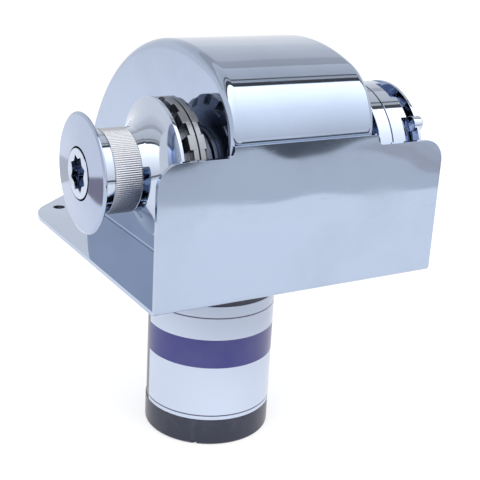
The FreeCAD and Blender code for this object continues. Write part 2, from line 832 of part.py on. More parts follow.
def gearbox_lid():
    """Right side lid with its bearing boss, its gasket and its screws."""
    inside = s.lid_inside - s.case_wall / 2
    gap = s.soft_gap
    lid = turned("lid_turned", [
        (inside, s.shaft_bore), (s.boss_right, s.shaft_bore), (s.boss_right, s.case_boss_radius),
        (s.case_right, s.case_boss_radius), (s.case_right, s.case_radius),
        (s.lid_inside, s.case_radius), (s.lid_inside, s.case_cavity_radius - gap),
        (inside, s.case_cavity_radius - gap)], "X", 0, s.shaft_y, s.shaft_z)
    holes = []
    screws = []
    gasket_holes = []
    head = s.small_screw_radius * s.screw_head_ratio
    for index, (y, z) in enumerate(lid_screw_spots()):
        clear = s.small_screw_radius + s.soft_gap
        holes.append(cylinder(f"lid_hole_{index}", clear, s.lid_thickness, s.lid_inside, y, z, "X"))
        gasket_holes.append(cylinder(f"gasket_hole_{index}", clear, s.gasket_thickness,
                                     s.case_end, y, z, "X"))
        shank_length = s.case_wall + s.lid_thickness
        shank = cylinder(f"lid_shank_{index}", s.small_screw_radius, shank_length,
                         s.case_right - shank_length, y, z, "X")
        cap = cylinder(f"lid_head_{index}", head, s.small_screw_radius * 2, s.case_right, y, z, "X")
        screws.append(fuse(f"lid_screw_{index}", [shank, cap]))
    gasket = ring_on_shaft("gasket_ring", s.case_end, s.lid_inside, s.case_cavity_radius, s.case_radius)
    return [cut("gearbox_lid", lid, fuse("lid_holes", holes)),
            cut("gearbox_lid_gasket", gasket, fuse("gasket_holes", gasket_holes)),
            group("gearbox_lid_screws", screws)]


def gearbox_foot_screws():
    """Flat-headed screws from below the plate into the foot."""
    length = s.plate_thickness + s.case_foot_height - s.end_gap
    return group("gearbox_foot_screws",
                 [countersunk(f"foot_screw_{i}", x, y, 0, s.medium_screw_radius, length)
                  for i, (x, y) in enumerate(foot_screw_spots())])


def shaft_bearings():
    """Plain bushes and lip seals in the two bosses."""
    bore = s.shaft_radius + s.running_fit
    radius = s.shaft_radius + s.bearing_wall
    left = s.boss_left + s.seal_width
    right = s.boss_right - s.seal_width
    return [
        ring_on_shaft("shaft_seal_left", s.boss_left, left, bore, radius),
        ring_on_shaft("shaft_bush_left", left, left + s.bearing_length, bore, radius),
        ring_on_shaft("shaft_seal_right", right, s.boss_right, bore, radius),
        ring_on_shaft("shaft_bush_right", right - s.bearing_length, right, bore, radius)]


def worm_column_fittings():
    """Worm bushes, the threaded cap over them and the oil plug."""
    bore = s.worm_shaft_radius + s.running_fit
    low = s.worm_bearing_bottom
    cap_low = s.column_top - s.worm_cap_height
    high = cap_low - s.worm_bearing_height
    plug_top = s.case_radius + s.shaft_z
    thread = s.terminal_radius
    plug_floor = s.case_cavity_radius + s.shaft_z + s.end_gap
    plug = fuse("oil_plug", [
        cylinder("plug_thread", thread, plug_top - plug_floor, s.wheel_x, s.shaft_y, plug_floor),
        cylinder("plug_head", thread * s.screw_head_ratio, thread, s.wheel_x, s.shaft_y, plug_top)])
    cap_lip = s.column_radius - s.end_gap
    cap_top = s.column_top + s.worm_cap_lip
    cap = turned("worm_cap", [
        (0, cap_low), (s.worm_bearing_radius, cap_low), (s.worm_bearing_radius, s.column_top),
        (cap_lip, s.column_top), (cap_lip, cap_top), (0, cap_top)],
        "Z", s.wheel_x, s.worm_y, 0)
    return [
        ring_on_motor("worm_bush_lower", low, low + s.worm_bearing_height, bore, s.worm_bearing_radius),
        ring_on_motor("worm_bush_upper", high, cap_low, bore, s.worm_bearing_radius),
        cap, plug]


def main_shaft():
    """Stepped shaft with a keyway at the wheel, one at the drum and a tapped end."""
    step_left = s.boss_left - s.end_gap
    step_right = s.boss_right + s.end_gap
    end = s.takeup_gap - s.drum_floor
    thin = s.shaft_end_radius
    bore = s.stem_radius + s.seat_fit
    body = turned("shaft_turned", [
        (s.hollow_end, 0), (s.shaft_right, 0), (s.shaft_right, thin), (step_right, thin),
        (step_right, s.shaft_radius), (step_left, s.shaft_radius), (step_left, thin),
        (end, thin), (end, bore), (s.hollow_end, bore)], "X", 0, s.shaft_y, s.shaft_z)
    keyways = [key_box("wheel_keyway", s.wheel_x, s.wheel_width, s.shaft_radius, 0),
               key_box("drum_keyway", -s.drum_neck, s.wheel_width, thin, 0)]
    keyways += [key_box(f"cone_keyway_{i}", x, s.cone_key_length, thin, 0)
                for i, x in enumerate(cone_key_places())]
    return cut("main_shaft", body, fuse("shaft_keyways", keyways))


def cone_key_places():
    """Where the three drive cones are keyed to the shaft."""
    half = s.cone_key_length / 2
    side = half + s.end_gap * 2
    return [s.boss_left - side, s.boss_right + side, s.nut_left - half - s.end_gap]


def clutch_keys():
    """The keys of the three drive cones."""
    return group("clutch_keys", [key_box(f"cone_key_{i}", x, s.cone_key_length, s.shaft_end_radius, 0)
                                 for i, x in enumerate(cone_key_places())])


def keyed_cone(name, body, place, travel):
    """A drive cone with its key slot, long enough for its travel."""
    slot = key_box(f"{name}_slot", place, s.cone_key_length + travel * 2,
                   s.shaft_end_radius, s.seat_fit)
    return cut(name, body, slot)


def key_box(name, x, length, radius, gap):
    """A square key over the shaft's top, with a gap all round."""
    half = s.key_size / 2
    return box(name, length + gap * 2, s.key_size + gap * 2, s.key_size + gap * 2,
               x - length / 2 - gap, s.shaft_y - half - gap, s.shaft_z + radius - half - gap)


def wheel_outline(turn_angle):
    """One side of the worm wheel as a closed wire, turned a little about the shaft."""
    teeth = int(plain(s.wheel_teeth))
    pitch = plain(s.wheel_pitch_radius)
    module = plain(s.wheel_module)
    tip, root = pitch + module, pitch - module * WHEEL_ROOT_RATIO
    slope = math.tan(PRESSURE_ANGLE)
    half_gap = plain(s.tooth_backlash) / 4
    points = []
    for index in range(teeth):
        middle = 2 * math.pi * index / teeth + turn_angle
        tooth_pitch = math.pi * module
        half_tip = (tooth_pitch / 4 - module * slope - half_gap) / tip
        half_root = (tooth_pitch / 4 + module * WHEEL_ROOT_RATIO * slope - half_gap) / root
        for radius, offset in ((root, -half_root), (tip, -half_tip), (tip, half_tip), (root, half_root)):
            points.append((radius * math.cos(middle + offset), radius * math.sin(middle + offset)))
    return points


def worm_wheel():
    """Bronze wheel whose teeth lean by the worm's lead angle, on a steel hub."""
    width = plain(s.wheel_width)
    lead = math.atan(plain(s.wheel_module) / 2 / plain(s.worm_pitch_radius))
    lean = width / 2 * math.tan(lead) / plain(s.wheel_pitch_radius)
    wires = []
    for side in (-1, 1):
        flat = wheel_outline(lean * side)
        corners = [FreeCAD.Vector(side * width / 2, y, z) for y, z in flat]
        wires.append(Part.makePolygon(corners + corners[:1]))
    solid = Part.makeLoft(wires, True, True)
    x_axis = FreeCAD.Vector(1, 0, 0)
    bore = Part.makeCylinder(plain(s.hub_radius), width, FreeCAD.Vector(-width / 2, 0, 0), x_axis)
    item = label(doc.addObject("Part::Feature", "worm_wheel_rim"), "worm_wheel_rim")
    item.Shape = solid.cut(bore)
    put(item, s.wheel_x, s.shaft_y, s.shaft_z)
    hub = ring_on_shaft("hub_ring", s.wheel_x - s.wheel_width / 2, s.wheel_x + s.wheel_width / 2,
                        s.shaft_radius, s.hub_radius)
    keyed = cut("worm_wheel_hub", hub, key_box("hub_keyway", s.wheel_x, s.wheel_width, s.shaft_radius, 0))
    key = key_box("wheel_key", s.wheel_x, s.wheel_width, s.shaft_radius, 0)
    return [item, keyed, key]


def wheel_thrust_rings():
    """Two thrust rings that hold the wheel hub along the shaft."""
    half = s.wheel_width / 2
    rings = []
    for index, left in enumerate((s.wheel_x - half - s.washer_thickness, s.wheel_x + half)):
        rings.append(ring_on_shaft(f"thrust_ring_{index}", left, left + s.washer_thickness,
                                   s.shaft_radius + s.seat_fit, s.thrust_ring_radius))
    return group("wheel_thrust_rings", rings)


def worm_shaft():
    """Steel worm with one start, cut on its own shaft."""
    pitch = math.pi * plain(s.wheel_module)
    module = plain(s.wheel_module)
    middle = plain(s.worm_pitch_radius)
    root = middle - module * WORM_ROOT_RATIO
    tip = middle + module * WORM_TIP_RATIO
    length = plain(s.worm_length)
    half_gap = plain(s.tooth_backlash) / 4
    slope = math.tan(PRESSURE_ANGLE)
    inner = root - plain(s.soft_gap)
    half_tip = pitch / 4 - (tip - middle) * slope - half_gap
    half_root = pitch / 4 + (middle - inner) * slope - half_gap
    lift = -length / 2
    turns = length - 2 * pitch
    helix = Part.makeHelix(pitch, turns, middle)
    profile = Part.makePolygon([
        FreeCAD.Vector(inner, 0, -half_root), FreeCAD.Vector(tip, 0, -half_tip),
        FreeCAD.Vector(tip, 0, half_tip), FreeCAD.Vector(inner, 0, half_root),
        FreeCAD.Vector(inner, 0, -half_root)])
    thread = Part.Wire(helix.Edges).makePipeShell([profile], True, True)
    # A half turn puts the start so that thread and tooth gap meet at the shaft's height.
    start_turn = 360 * ((turns / 2) / pitch - math.floor(turns / 2 / pitch)) + 90
    thread.rotate(FreeCAD.Vector(0, 0, 0), FreeCAD.Vector(0, 0, 1), -start_turn + 180)
    thread.translate(FreeCAD.Vector(0, 0, lift + pitch))
    core = Part.makeCylinder(root, length, FreeCAD.Vector(0, 0, lift))
    top = plain(s.column_top - s.worm_cap_height - s.end_gap - s.shaft_z)
    bottom = plain(s.plate_thickness + s.worm_shaft_rise - s.shaft_z)
    rod = Part.makeCylinder(plain(s.worm_shaft_radius), top - bottom, FreeCAD.Vector(0, 0, bottom))
    item = label(doc.addObject("Part::Feature", "worm_shaft"), "worm_shaft")
    item.Shape = core.fuse(thread).fuse(rod)
    put(item, s.wheel_x, s.worm_y, s.shaft_z)
    return item


def left_clutch():
    """Keyed inner cone between the cover and the left gypsy."""
    near = -s.gypsy_left_inner
    gap = s.cone_gap
    bore = s.shaft_end_radius + s.running_fit
    end = near - s.cone_depth + s.end_gap
    start = s.boss_left - s.end_gap - s.soft_gap
    body = turned("left_cone_turned", [
        (start, bore), (end, bore), (end, s.cone_tip_radius),
        (near, s.cone_mouth_radius - gap), (start, s.cone_mouth_radius - gap)],
        "X", 0, s.shaft_y, s.shaft_z)
    return keyed_cone("left_drive_cone", body, cone_key_places()[0], s.soft_gap)


def seat_points(low, high):
    """The bore and the two cone seats of a gypsy, from one face to the other."""
    bore = s.shaft_end_radius + s.running_fit
    throat, mouth, depth = s.cone_throat_radius, s.cone_mouth_radius, s.cone_depth
    return [(low, mouth), (low + depth, throat), (low + depth, bore),
            (high - depth, bore), (high - depth, throat), (high, mouth)]


def seam_points(place, radius):
    """The narrow groove round a rim, from its right edge to its left one."""
    half, floor = s.seam_width / 2, radius - s.seam_depth
    return [(place + half, radius), (place + half, floor), (place - half, floor), (place - half, radius)]


def left_wheel_turned():
    """Left gypsy wheel: two slanting shoulders, a narrow rim with a seam, and its cone seats."""
    low, high = -s.gypsy_left_outer, -s.gypsy_left_inner
    left, right = low + s.rim_inset_outer, high - s.rim_inset_inner
    radius, edge = s.gypsy_left_radius, s.edge_break
    points = seat_points(low, high)
    points += [(high, s.shoulder_radius), (right, radius - edge), (right - edge, radius)]
    points += seam_points(s.gypsy_left_seam, radius)
    points += [(left + edge, radius), (left, radius - edge), (low, s.shoulder_radius)]
    return turned("left_wheel_turned", points, "X", 0, s.shaft_y, s.shaft_z)


def right_wheel_turned():
    """Right gypsy wheel: a rim with a seam, a V groove, an outer flange and its cone seats."""
    low, high = s.gypsy_right_inner, s.gypsy_right_outer
    groove, top, bottom = s.gypsy_right_groove, s.groove_top / 2, s.groove_bottom / 2
    radius, edge, floor = s.gypsy_right_radius, s.edge_break, s.groove_floor_radius
    points = seat_points(low, high)
    points += [(high, radius - edge), (high - edge, radius), (groove + top, radius),
               (groove + bottom, floor), (groove - bottom, floor), (groove - top, radius)]
    points += seam_points(s.gypsy_right_seam, radius)
    points += [(low + edge, radius), (low, radius - edge)]
    return turned("right_wheel_turned", points, "X", 0, s.shaft_y, s.shaft_z)


def tilted(name, piece, angle, x):
    """A helper piece turned by an angle about the shaft line, at a place along it."""
    item = doc.addObject("Part::Compound", name)
    item.Links = [piece]
    item.Placement.Rotation = FreeCAD.Rotation(FreeCAD.Vector(1, 0, 0), angle)
    put(item, x, s.shaft_y, s.shaft_z)
    return item


def pocket_tools(name, low, length, width, count, turn):
    """Boxes that cut chain pockets at equal angles round a gypsy's rim."""
    floor = s.pocket_floor_radius
    tools = []
    for index in range(int(plain(count))):
        tool = box(f"{name}_{index}", length, width, floor, low, -width / 2, floor)
        angle = plain(turn) + 360 * index / plain(count)
        tools.append(tilted(f"{name}_turned_{index}", tool, angle, 0))
    return tools


def drive_lugs():
    """Round lugs along the shaft on the right gypsy's outer flange."""
    start = s.gypsy_right_groove + s.lug_step
    length = s.gypsy_right_outer + s.lug_reach - start
    lugs = []
    for index in range(int(plain(s.lug_count))):
        lug = cylinder(f"lug_{index}", s.lug_radius, length, start, 0, s.lug_place, "X")
        angle = plain(s.lug_turn) + 360 * index / plain(s.lug_count)
        lugs.append(tilted(f"lug_turned_{index}", lug, angle, 0))
    return lugs


def halves(name, wheel, split, low, high, radius):
    """Split a gypsy into the two halves that bolt together."""
    gap = s.seat_fit
    room = radius + s.end_gap
    near = cylinder(f"{name}_near_room", room, split - low, low, s.shaft_y, s.shaft_z, "X")
    far = cylinder(f"{name}_far_room", room, high - split - gap,
                   split + gap, s.shaft_y, s.shaft_z, "X")
    first = label(doc.addObject("Part::Common", f"{name}_first"), f"{name}_first")
    first.Base, first.Tool = wheel, near
    second = label(doc.addObject("Part::Common", f"{name}_second"), f"{name}_second")
    second.Base, second.Tool = wheel, far
    return first, second


def gypsies():
    """Left and right gypsies, each in two halves."""
    low, high = -s.gypsy_left_outer, -s.gypsy_left_inner
    reach, room = s.rim_notch_reach, s.end_gap
    notches = pocket_tools("outer_notch", low - room, room + s.rim_inset_outer + reach,
                           s.rim_notch_width, s.rim_notches, s.rim_notch_turn)
    notches += pocket_tools("inner_notch", high - s.rim_inset_inner - reach,
                            room + s.rim_inset_inner + reach,
                            s.rim_notch_width, s.rim_notches, s.rim_notch_turn)
    left = cut("left_wheel", left_wheel_turned(), fuse("left_notches", notches))
    left_outer, left_inner = halves("gypsy_left", left, s.gypsy_left_seam, low, high,
                                    s.gypsy_left_radius)
    groove = s.gypsy_right_groove
    reach = s.groove_top / 2 + s.pocket_reach
    pockets = pocket_tools("pocket", groove - reach, reach, s.pocket_width, s.pocket_count,
                           s.pocket_turn)
    right = cut("right_wheel", right_wheel_turned(), fuse("right_pockets", pockets))
    right_inner, flange = halves("gypsy_right", right, groove, s.gypsy_right_inner,
                                 s.gypsy_right_outer, s.gypsy_right_radius)
    right_outer = fuse("right_flange_with_lugs", [flange] + drive_lugs())
    return [label(left_outer, "gypsy_left_outer"), label(left_inner, "gypsy_left_inner"),
            label(right_outer, "gypsy_right_outer"), label(right_inner, "gypsy_right_inner")]


def warping_drum():
    """Drum with a trumpet flange, a fluted grip band and a cone for the gypsy."""
    bore = s.shaft_end_radius + s.seat_fit
    gap = s.cone_gap
    near = -s.drum_right
    rim = near - s.drum_rim
    cone_end = -s.gypsy_left_outer + s.cone_depth - s.end_gap
    recess = s.collar_radius + s.collar_gap
    left = -s.drum_left
    body = turned("drum_turned", [
        (cone_end, bore), (cone_end, s.cone_tip_radius),
        (-s.gypsy_left_outer, s.cone_mouth_radius - gap), (near, s.cone_mouth_radius - gap),
        (near, s.drum_flange_radius), (rim, s.drum_flange_radius),
        Bulge(s.trumpet_radius, True), (-s.drum_neck, s.drum_radius),
        (left, s.drum_radius), (left, recess), (-s.drum_floor, recess), (-s.drum_floor, bore)],
        "X", 0, s.shaft_y, s.shaft_z)
    knurl = fluted_band()
    joined = fuse("drum_with_band", [body, knurl])
    return cut("warping_drum", joined,
               key_box("drum_key_slot", -s.drum_neck, s.wheel_width + s.release_travel * 2,
                       s.shaft_end_radius, s.seat_fit))


def fluted_band():
    """The grip band: a thin ring with fine ribs along the shaft."""
    ribs = int(plain(s.knurl_ribs))
    crest = plain(s.drum_radius + s.knurl_height)
    root = plain(s.drum_radius + s.running_fit)
    corners = []
    for index in range(ribs):
        for radius, share in ((root, 0), (crest, RIB_RISE), (crest, RIB_FLAT), (root, RIB_FALL)):
            angle = 2 * math.pi * (index + share) / ribs
            corners.append(FreeCAD.Vector(0, radius * math.cos(angle), radius * math.sin(angle)))
    face = Part.Face(Part.makePolygon(corners + corners[:1]))
    length = plain(s.knurl_left - s.knurl_right)
    x_axis = FreeCAD.Vector(1, 0, 0)
    inside = plain(s.drum_radius - s.knurl_depth)
    core = Part.makeCylinder(inside, length, FreeCAD.Vector(0, 0, 0), x_axis)
    item = doc.addObject("Part::Feature", "grip_band")
    item.Shape = face.extrude(FreeCAD.Vector(length, 0, 0)).cut(core)
    put(item, -s.knurl_left, s.shaft_y, s.shaft_z)
    return item


def drum_end():
    """Crowned end disc, its key, the thrust washer and the socket-headed clutch screw."""
    left = -s.end_disc_left
    back = -s.drum_left
    recess = s.collar_radius + s.collar_gap
    disc = turned("drum_end_disc", [
        (back, recess), (left - s.end_disc_crown, recess),
        (left, s.end_disc_radius - s.end_disc_rim),
        (left + s.end_disc_rim / 2, s.end_disc_radius),
        (left + s.end_disc_rim, s.end_disc_radius),
        (back, s.drum_radius)], "X", 0, s.shaft_y, s.shaft_z)
    key = key_box("drum_key", -s.drum_neck, s.wheel_width, s.shaft_end_radius, 0)
    washer_end = -s.drum_floor - s.washer_thickness
    washer = ring_on_shaft("drum_thrust_washer", washer_end, -s.drum_floor,
                           s.stem_radius + s.soft_gap, s.collar_radius)
    stem_end = s.hollow_end - s.end_gap
    head = turned("screw_turned", [
        (-s.collar_left, 0), (-s.collar_left, s.collar_radius - s.edge_break),
        (s.edge_break - s.collar_left, s.collar_radius), (washer_end, s.collar_radius),
        (washer_end, s.stem_radius), (stem_end, s.stem_radius), (stem_end, 0)],
        "X", 0, s.shaft_y, s.shaft_z)
    flats = s.socket_across_flats
    squares = []
    for index in range(2):
        square = box(f"socket_square_{index}", s.socket_depth, flats, flats,
                     0, flats / -2, flats / -2)
        turn = plain(s.socket_turn) + 45 * index
        squares.append(tilted(f"socket_turned_{index}", square, turn, -s.collar_left))
    screw = cut("clutch_screw", head, fuse("star_socket", squares))
    return [disc, key, washer, screw]


def right_clutch():
    """Inner and outer drive cones and the domed clutch nut with its bar sockets."""
    near = s.gypsy_right_inner
    far = s.gypsy_right_outer
    gap = s.cone_gap
    bore = s.shaft_end_radius + s.running_fit
    start = s.boss_right + s.end_gap + s.soft_gap
    tip = s.cone_depth - s.end_gap
    inner_body = turned("right_cone_turned", [
        (start, bore), (near + tip, bore), (near + tip, s.cone_tip_radius),
        (near, s.cone_mouth_radius - gap), (start, s.cone_mouth_radius - gap)],
        "X", 0, s.shaft_y, s.shaft_z)
    outer_body = turned("thrust_cone_turned", [
        (far - tip, bore), (s.nut_left, bore),
        (s.nut_left, s.cone_mouth_radius - gap), (far, s.cone_mouth_radius - gap),
        (far - tip, s.cone_tip_radius)],
        "X", 0, s.shaft_y, s.shaft_z)
    inner = keyed_cone("right_drive_cone", inner_body, cone_key_places()[1], s.soft_gap)
    outer = keyed_cone("right_thrust_cone", outer_body, cone_key_places()[2], s.release_travel)
    end = s.nut_right
    edge = s.nut_round
    back = s.nut_left + s.edge_break
    well = s.shaft_right + s.soft_gap
    nut = turned("nut_turned", [
        (s.nut_left, bore), (well, bore), (well, 0),
        (end, 0), (end, s.nut_radius - edge), Bulge(edge, False), (end - edge, s.nut_radius),
        (back, s.nut_radius), (s.nut_left, s.nut_radius - s.edge_break)],
        "X", 0, s.shaft_y, s.shaft_z)
    sockets = []
    half = s.nut_socket / 2
    middle = (s.nut_left + s.nut_right) / 2
    count = int(plain(s.nut_sockets))
    for index in range(count):
        hole = box(f"bar_hole_{index}", s.nut_socket, s.nut_socket, s.nut_radius,
                   middle - half, -half, s.nut_radius - s.nut_socket * 2)
        angle = 360 * (index + 0.5) / count
        sockets.append(tilted(f"bar_hole_turned_{index}", hole, angle, 0))
    return [inner, outer, cut("clutch_nut", nut, fuse("bar_sockets", sockets))]


def motor_shell():
    """Flange, case tube, label sleeve and end cap."""
    neck_low = -s.label_top
    pilot_top = s.plate_thickness
    bore = s.commutator_radius
    wall = s.case_tube_wall
    spigot = s.spigot_radius
    flange = turned("flange_turned", [
        (bore, neck_low - wall), (spigot, neck_low - wall), (spigot, neck_low),
        (s.case_radius_out, neck_low), (s.case_radius_out, neck_low + wall),
        (s.motor_neck_radius, neck_low + wall),
        (s.motor_neck_radius, -s.motor_flange_height),
        (s.motor_flange_radius, -s.motor_flange_height), (s.motor_flange_radius, 0),
        (s.motor_pilot_radius, 0), (s.motor_pilot_radius, pilot_top), (bore, pilot_top)],
        "Z", s.wheel_x, s.worm_y, 0)
    holes = []
    screws = []
    radius = s.medium_screw_radius
    reach = s.motor_flange_height + s.plate_thickness + s.case_foot_height - s.end_gap
    for index, (x, y) in enumerate(motor_screw_spots()):
        holes.append(cylinder(f"flange_hole_{index}", radius + s.soft_gap, s.motor_flange_height,
                              x, y, -s.motor_flange_height))
        shank = cylinder(f"motor_shank_{index}", radius, reach, x, y, -s.motor_flange_height)
        head = cylinder(f"motor_head_{index}", radius * s.screw_head_ratio, radius * 2,
                        x, y, -s.motor_flange_height - radius * 2)
        screws.append(fuse(f"motor_screw_{index}", [shank, head]))
    motor_flange = cut("motor_flange", flange, fuse("flange_holes", holes))
    tube = ring_on_motor("motor_case", -s.label_bottom, neck_low, s.case_radius_in, s.case_radius_out)
    sleeve = ring_on_motor("motor_label", -s.label_bottom, neck_low,
                           s.case_radius_out, s.motor_radius)
    low = -s.motor_bottom
    floor = s.cap_floor
    edge = s.cap_round
    seat = s.rotor_bush_radius + s.seat_fit
    cap = turned("cap_turned", [
        (0, low), (s.motor_radius - edge, low), Bulge(edge, False),
        (s.motor_radius, low + edge), (s.motor_radius, -s.label_bottom),
        (spigot, -s.label_bottom), (spigot, -s.label_bottom + wall),
        (spigot - wall, -s.label_bottom + wall), (spigot - wall, low + floor),
        (bore, low + floor), (bore, low + floor * 2),
        (seat, low + floor * 2), (seat, low + floor), (0, low + floor)],
        "Z", s.wheel_x, s.worm_y, 0)
    studs = [cylinder(f"cap_stud_hole_{i}", s.terminal_bush_radius + s.seat_fit, s.motor_radius,
                      x, s.worm_y, s.terminal_z, "Y") for i, x in enumerate(terminal_xs())]
    notch = box("cap_notch", s.notch_length, s.notch_height, s.notch_height,
                s.wheel_x - s.notch_offset, s.worm_y - s.notch_offset - s.cap_round, low)
    end_cap = cut("motor_end_cap", cap, fuse("cap_cuts", studs + [notch]))
    return [motor_flange, group("motor_flange_screws", screws), tube, sleeve, end_cap]


def terminal_xs():
    """The two places of the motor terminals across the motor's rear."""
    step = s.terminal_spacing / 2
    return [s.wheel_x - step, s.wheel_x + step]


def motor_terminals():
    """Threaded terminal studs in insulating bushes at the back of the end cap."""
    radius = s.terminal_radius
    studs, bushes, nuts = [], [], []
    back = s.worm_y + s.motor_radius
    start = back - s.terminal_inset
    shoulder = back + s.washer_thickness
    corner = s.terminal_nut_across / math.sqrt(3)
    for index, x in enumerate(terminal_xs()):
        studs.append(cylinder(f"stud_{index}", radius, s.terminal_inset + s.terminal_reach,
                              x, start, s.terminal_z, "Y"))
        outer = cylinder(f"bush_body_{index}", s.terminal_bush_radius, shoulder - start,
                         x, start, s.terminal_z, "Y")
        hole = cylinder(f"bush_bore_{index}", radius + s.seat_fit, s.motor_radius,
                        x, start, s.terminal_z, "Y")
        bushes.append(cut(f"bush_{index}", outer, hole))
        for level in range(2):
            nut = doc.addObject("Part::Prism", f"nut_{index}_{level}")
            nut.Polygon = 6
            bind(nut, "Circumradius", corner)
            bind(nut, "Height", s.terminal_nut_height)
            nut.Placement.Rotation = AXIS_TURNS["Y"]
            put(nut, x, shoulder + (s.terminal_nut_height + s.soft_gap) * level, s.terminal_z)
            bore = cylinder(f"nut_bore_{index}_{level}", radius + s.seat_fit, s.motor_radius,
                            x, start, s.terminal_z, "Y")
            nuts.append(cut(f"terminal_nut_{index}_{level}", nut, bore))
    return [group("motor_terminal_studs", studs), group("motor_terminal_bushes", bushes),
            group("motor_terminal_nuts", nuts)]


def motor_inside():
    """Magnets, brush gear and bushes that stand still inside the motor."""
    cap_inside = -s.motor_bottom + s.cap_floor
    wall = s.case_tube_wall
    magnet_in = s.spigot_radius - s.magnet_thickness
    ring = ring_on_motor("magnet_ring", -s.armature_bottom, -s.armature_top,
                         magnet_in, s.spigot_radius)
    slot = s.magnet_gap
    across = s.motor_radius * 2
    tall = s.armature_bottom - s.armature_top
    slots = fuse("magnet_slots", [
        box("magnet_slot_x", across, slot, tall, s.wheel_x - s.motor_radius, s.worm_y - slot / 2,
            -s.armature_bottom),
        box("magnet_slot_y", slot, across, tall, s.wheel_x - slot / 2, s.worm_y - s.motor_radius,
            -s.armature_bottom)])
    magnets = cut("motor_magnets", ring, slots)
    bore = s.rotor_shaft_radius + s.running_fit
    lower = ring_on_motor("rotor_bush_lower", cap_inside, cap_inside + s.cap_floor,
                          bore, s.rotor_bush_radius)
    upper = ring_on_motor("rotor_bush_upper", -s.label_top - wall, -s.label_top + wall * 2,
                          bore, s.commutator_radius)
    return [magnets, lower, upper] + brush_gear()


def brush_gear():
    """Brush plate with its two stops, the brushes and the springs behind them."""
    plate_z = -s.label_bottom + s.case_tube_wall
    top_z = plate_z + s.washer_thickness
    holder = ring_on_motor("brush_plate_ring", plate_z, top_z,
                           s.commutator_radius + s.air_gap, s.spigot_radius)
    stop_width = s.brush_width * 2
    brush_in = s.commutator_radius + s.running_fit
    brush_out = brush_in + s.brush_length
    spring_out = brush_out + s.brush_spring_length
    stop_out = spring_out + s.washer_thickness
    brushes, springs, stops = [], [], []
    for index, side in enumerate((-1, 1)):
        inner, middle, outer = (brush_in, brush_out, spring_out) if side > 0 else (
            -brush_out, -spring_out, -stop_out)
        brushes.append(box(f"brush_{index}", s.brush_length, s.brush_width, s.brush_height,
                           s.wheel_x + inner, s.worm_y - s.brush_width / 2, top_z))
        springs.append(cylinder(f"brush_spring_{index}", s.small_screw_radius,
                                s.brush_spring_length, s.wheel_x + middle, s.worm_y,
                                top_z + s.brush_height / 2, "X"))
        stops.append(box(f"brush_stop_{index}", s.washer_thickness, stop_width, s.brush_height,
                         s.wheel_x + outer, s.worm_y - s.brush_width, top_z))
    return [fuse("brush_holder", [holder] + stops), group("motor_brushes", brushes),
            group("brush_springs", springs)]


def motor_rotor():
    """Armature shaft, core, windings, commutator and the drive coupling to the worm."""
    shaft = s.rotor_shaft_radius
    low = s.cap_floor - s.motor_bottom + s.end_gap
    coupling_low = -s.label_top + s.case_tube_wall * 2 + s.end_gap
    worm_low = s.plate_thickness + s.worm_shaft_rise
    coupling_high = s.worm_bearing_bottom - s.end_gap * 3
    step = worm_low - s.running_fit
    worm_seat = s.worm_shaft_radius + s.seat_fit
    coupling = turned("drive_coupling", [
        (shaft + s.seat_fit, coupling_low), (s.coupling_radius, coupling_low),
        (s.coupling_radius, coupling_high), (worm_seat, coupling_high),
        (worm_seat, step), (shaft + s.seat_fit, step)], "Z", s.wheel_x, s.worm_y, 0)
    rod = rod_on_motor("armature_shaft", low, worm_low - s.end_gap, shaft)
    bore = shaft + s.seat_fit
    core = ring_on_motor("armature_core", -s.armature_bottom, -s.armature_top, bore, s.armature_radius)
    thin = s.armature_radius - s.winding_step
    rise = s.winding_height
    upper = ring_on_motor("winding_upper", -s.armature_top, -s.armature_top + rise, bore, thin)
    lower = ring_on_motor("winding_lower", -s.armature_bottom - rise, -s.armature_bottom, bore, thin)
    brush_low = -s.label_bottom + s.case_tube_wall
    commutator = ring_on_motor("commutator", brush_low, -s.armature_bottom - rise, bore,
                               s.commutator_radius)
    return [coupling, rod, core, group("armature_windings", [upper, lower]), commutator]


def build():
    """Make every piece and return the finished ones."""
    pieces = [base_plate(), housing_cover()]
    pieces += cover_fixings()
    pieces.append(gearbox_case())
    pieces += gearbox_lid()
    pieces.append(gearbox_foot_screws())
    pieces += shaft_bearings()
    pieces += worm_column_fittings()
    pieces.append(main_shaft())
    pieces += worm_wheel()
    pieces.append(wheel_thrust_rings())
    pieces.append(worm_shaft())
    pieces.append(clutch_keys())
    pieces.append(left_clutch())
    pieces += gypsies()
    pieces.append(warping_drum())
    pieces += drum_end()
    pieces += right_clutch()
    pieces += motor_shell()
    pieces += motor_terminals()
    pieces += motor_inside()
    pieces += motor_rotor()
    return pieces


def check_and_write(pieces):
    """Stop on any failed item or shape, then write one file for each piece."""
    doc.recompute()
    for item in doc.Objects:
        if "Invalid" in item.State or "Error" in item.State:
            raise ValueError(f"{item.Label} failed: {item.State}")
    for piece in pieces:
        shape = piece.Shape
        if shape.isNull() or not shape.isValid() or not shape.Solids:
            raise ValueError(f"{piece.Label} has no sound solid")
    os.makedirs("parts", exist_ok=True)
    for piece in pieces:
        piece.Shape.exportStep(f"parts/{piece.Label}.step")
        print(f"{piece.Label}: {len(piece.Shape.Solids)} solid(s), {piece.Shape.Volume:.0f} mm3")


check_and_write(build())
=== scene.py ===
import json
import logging
import math
from dataclasses import dataclass
from enum import Enum
from typing import Callable

import bmesh
import bpy
from mathutils import Matrix, Vector


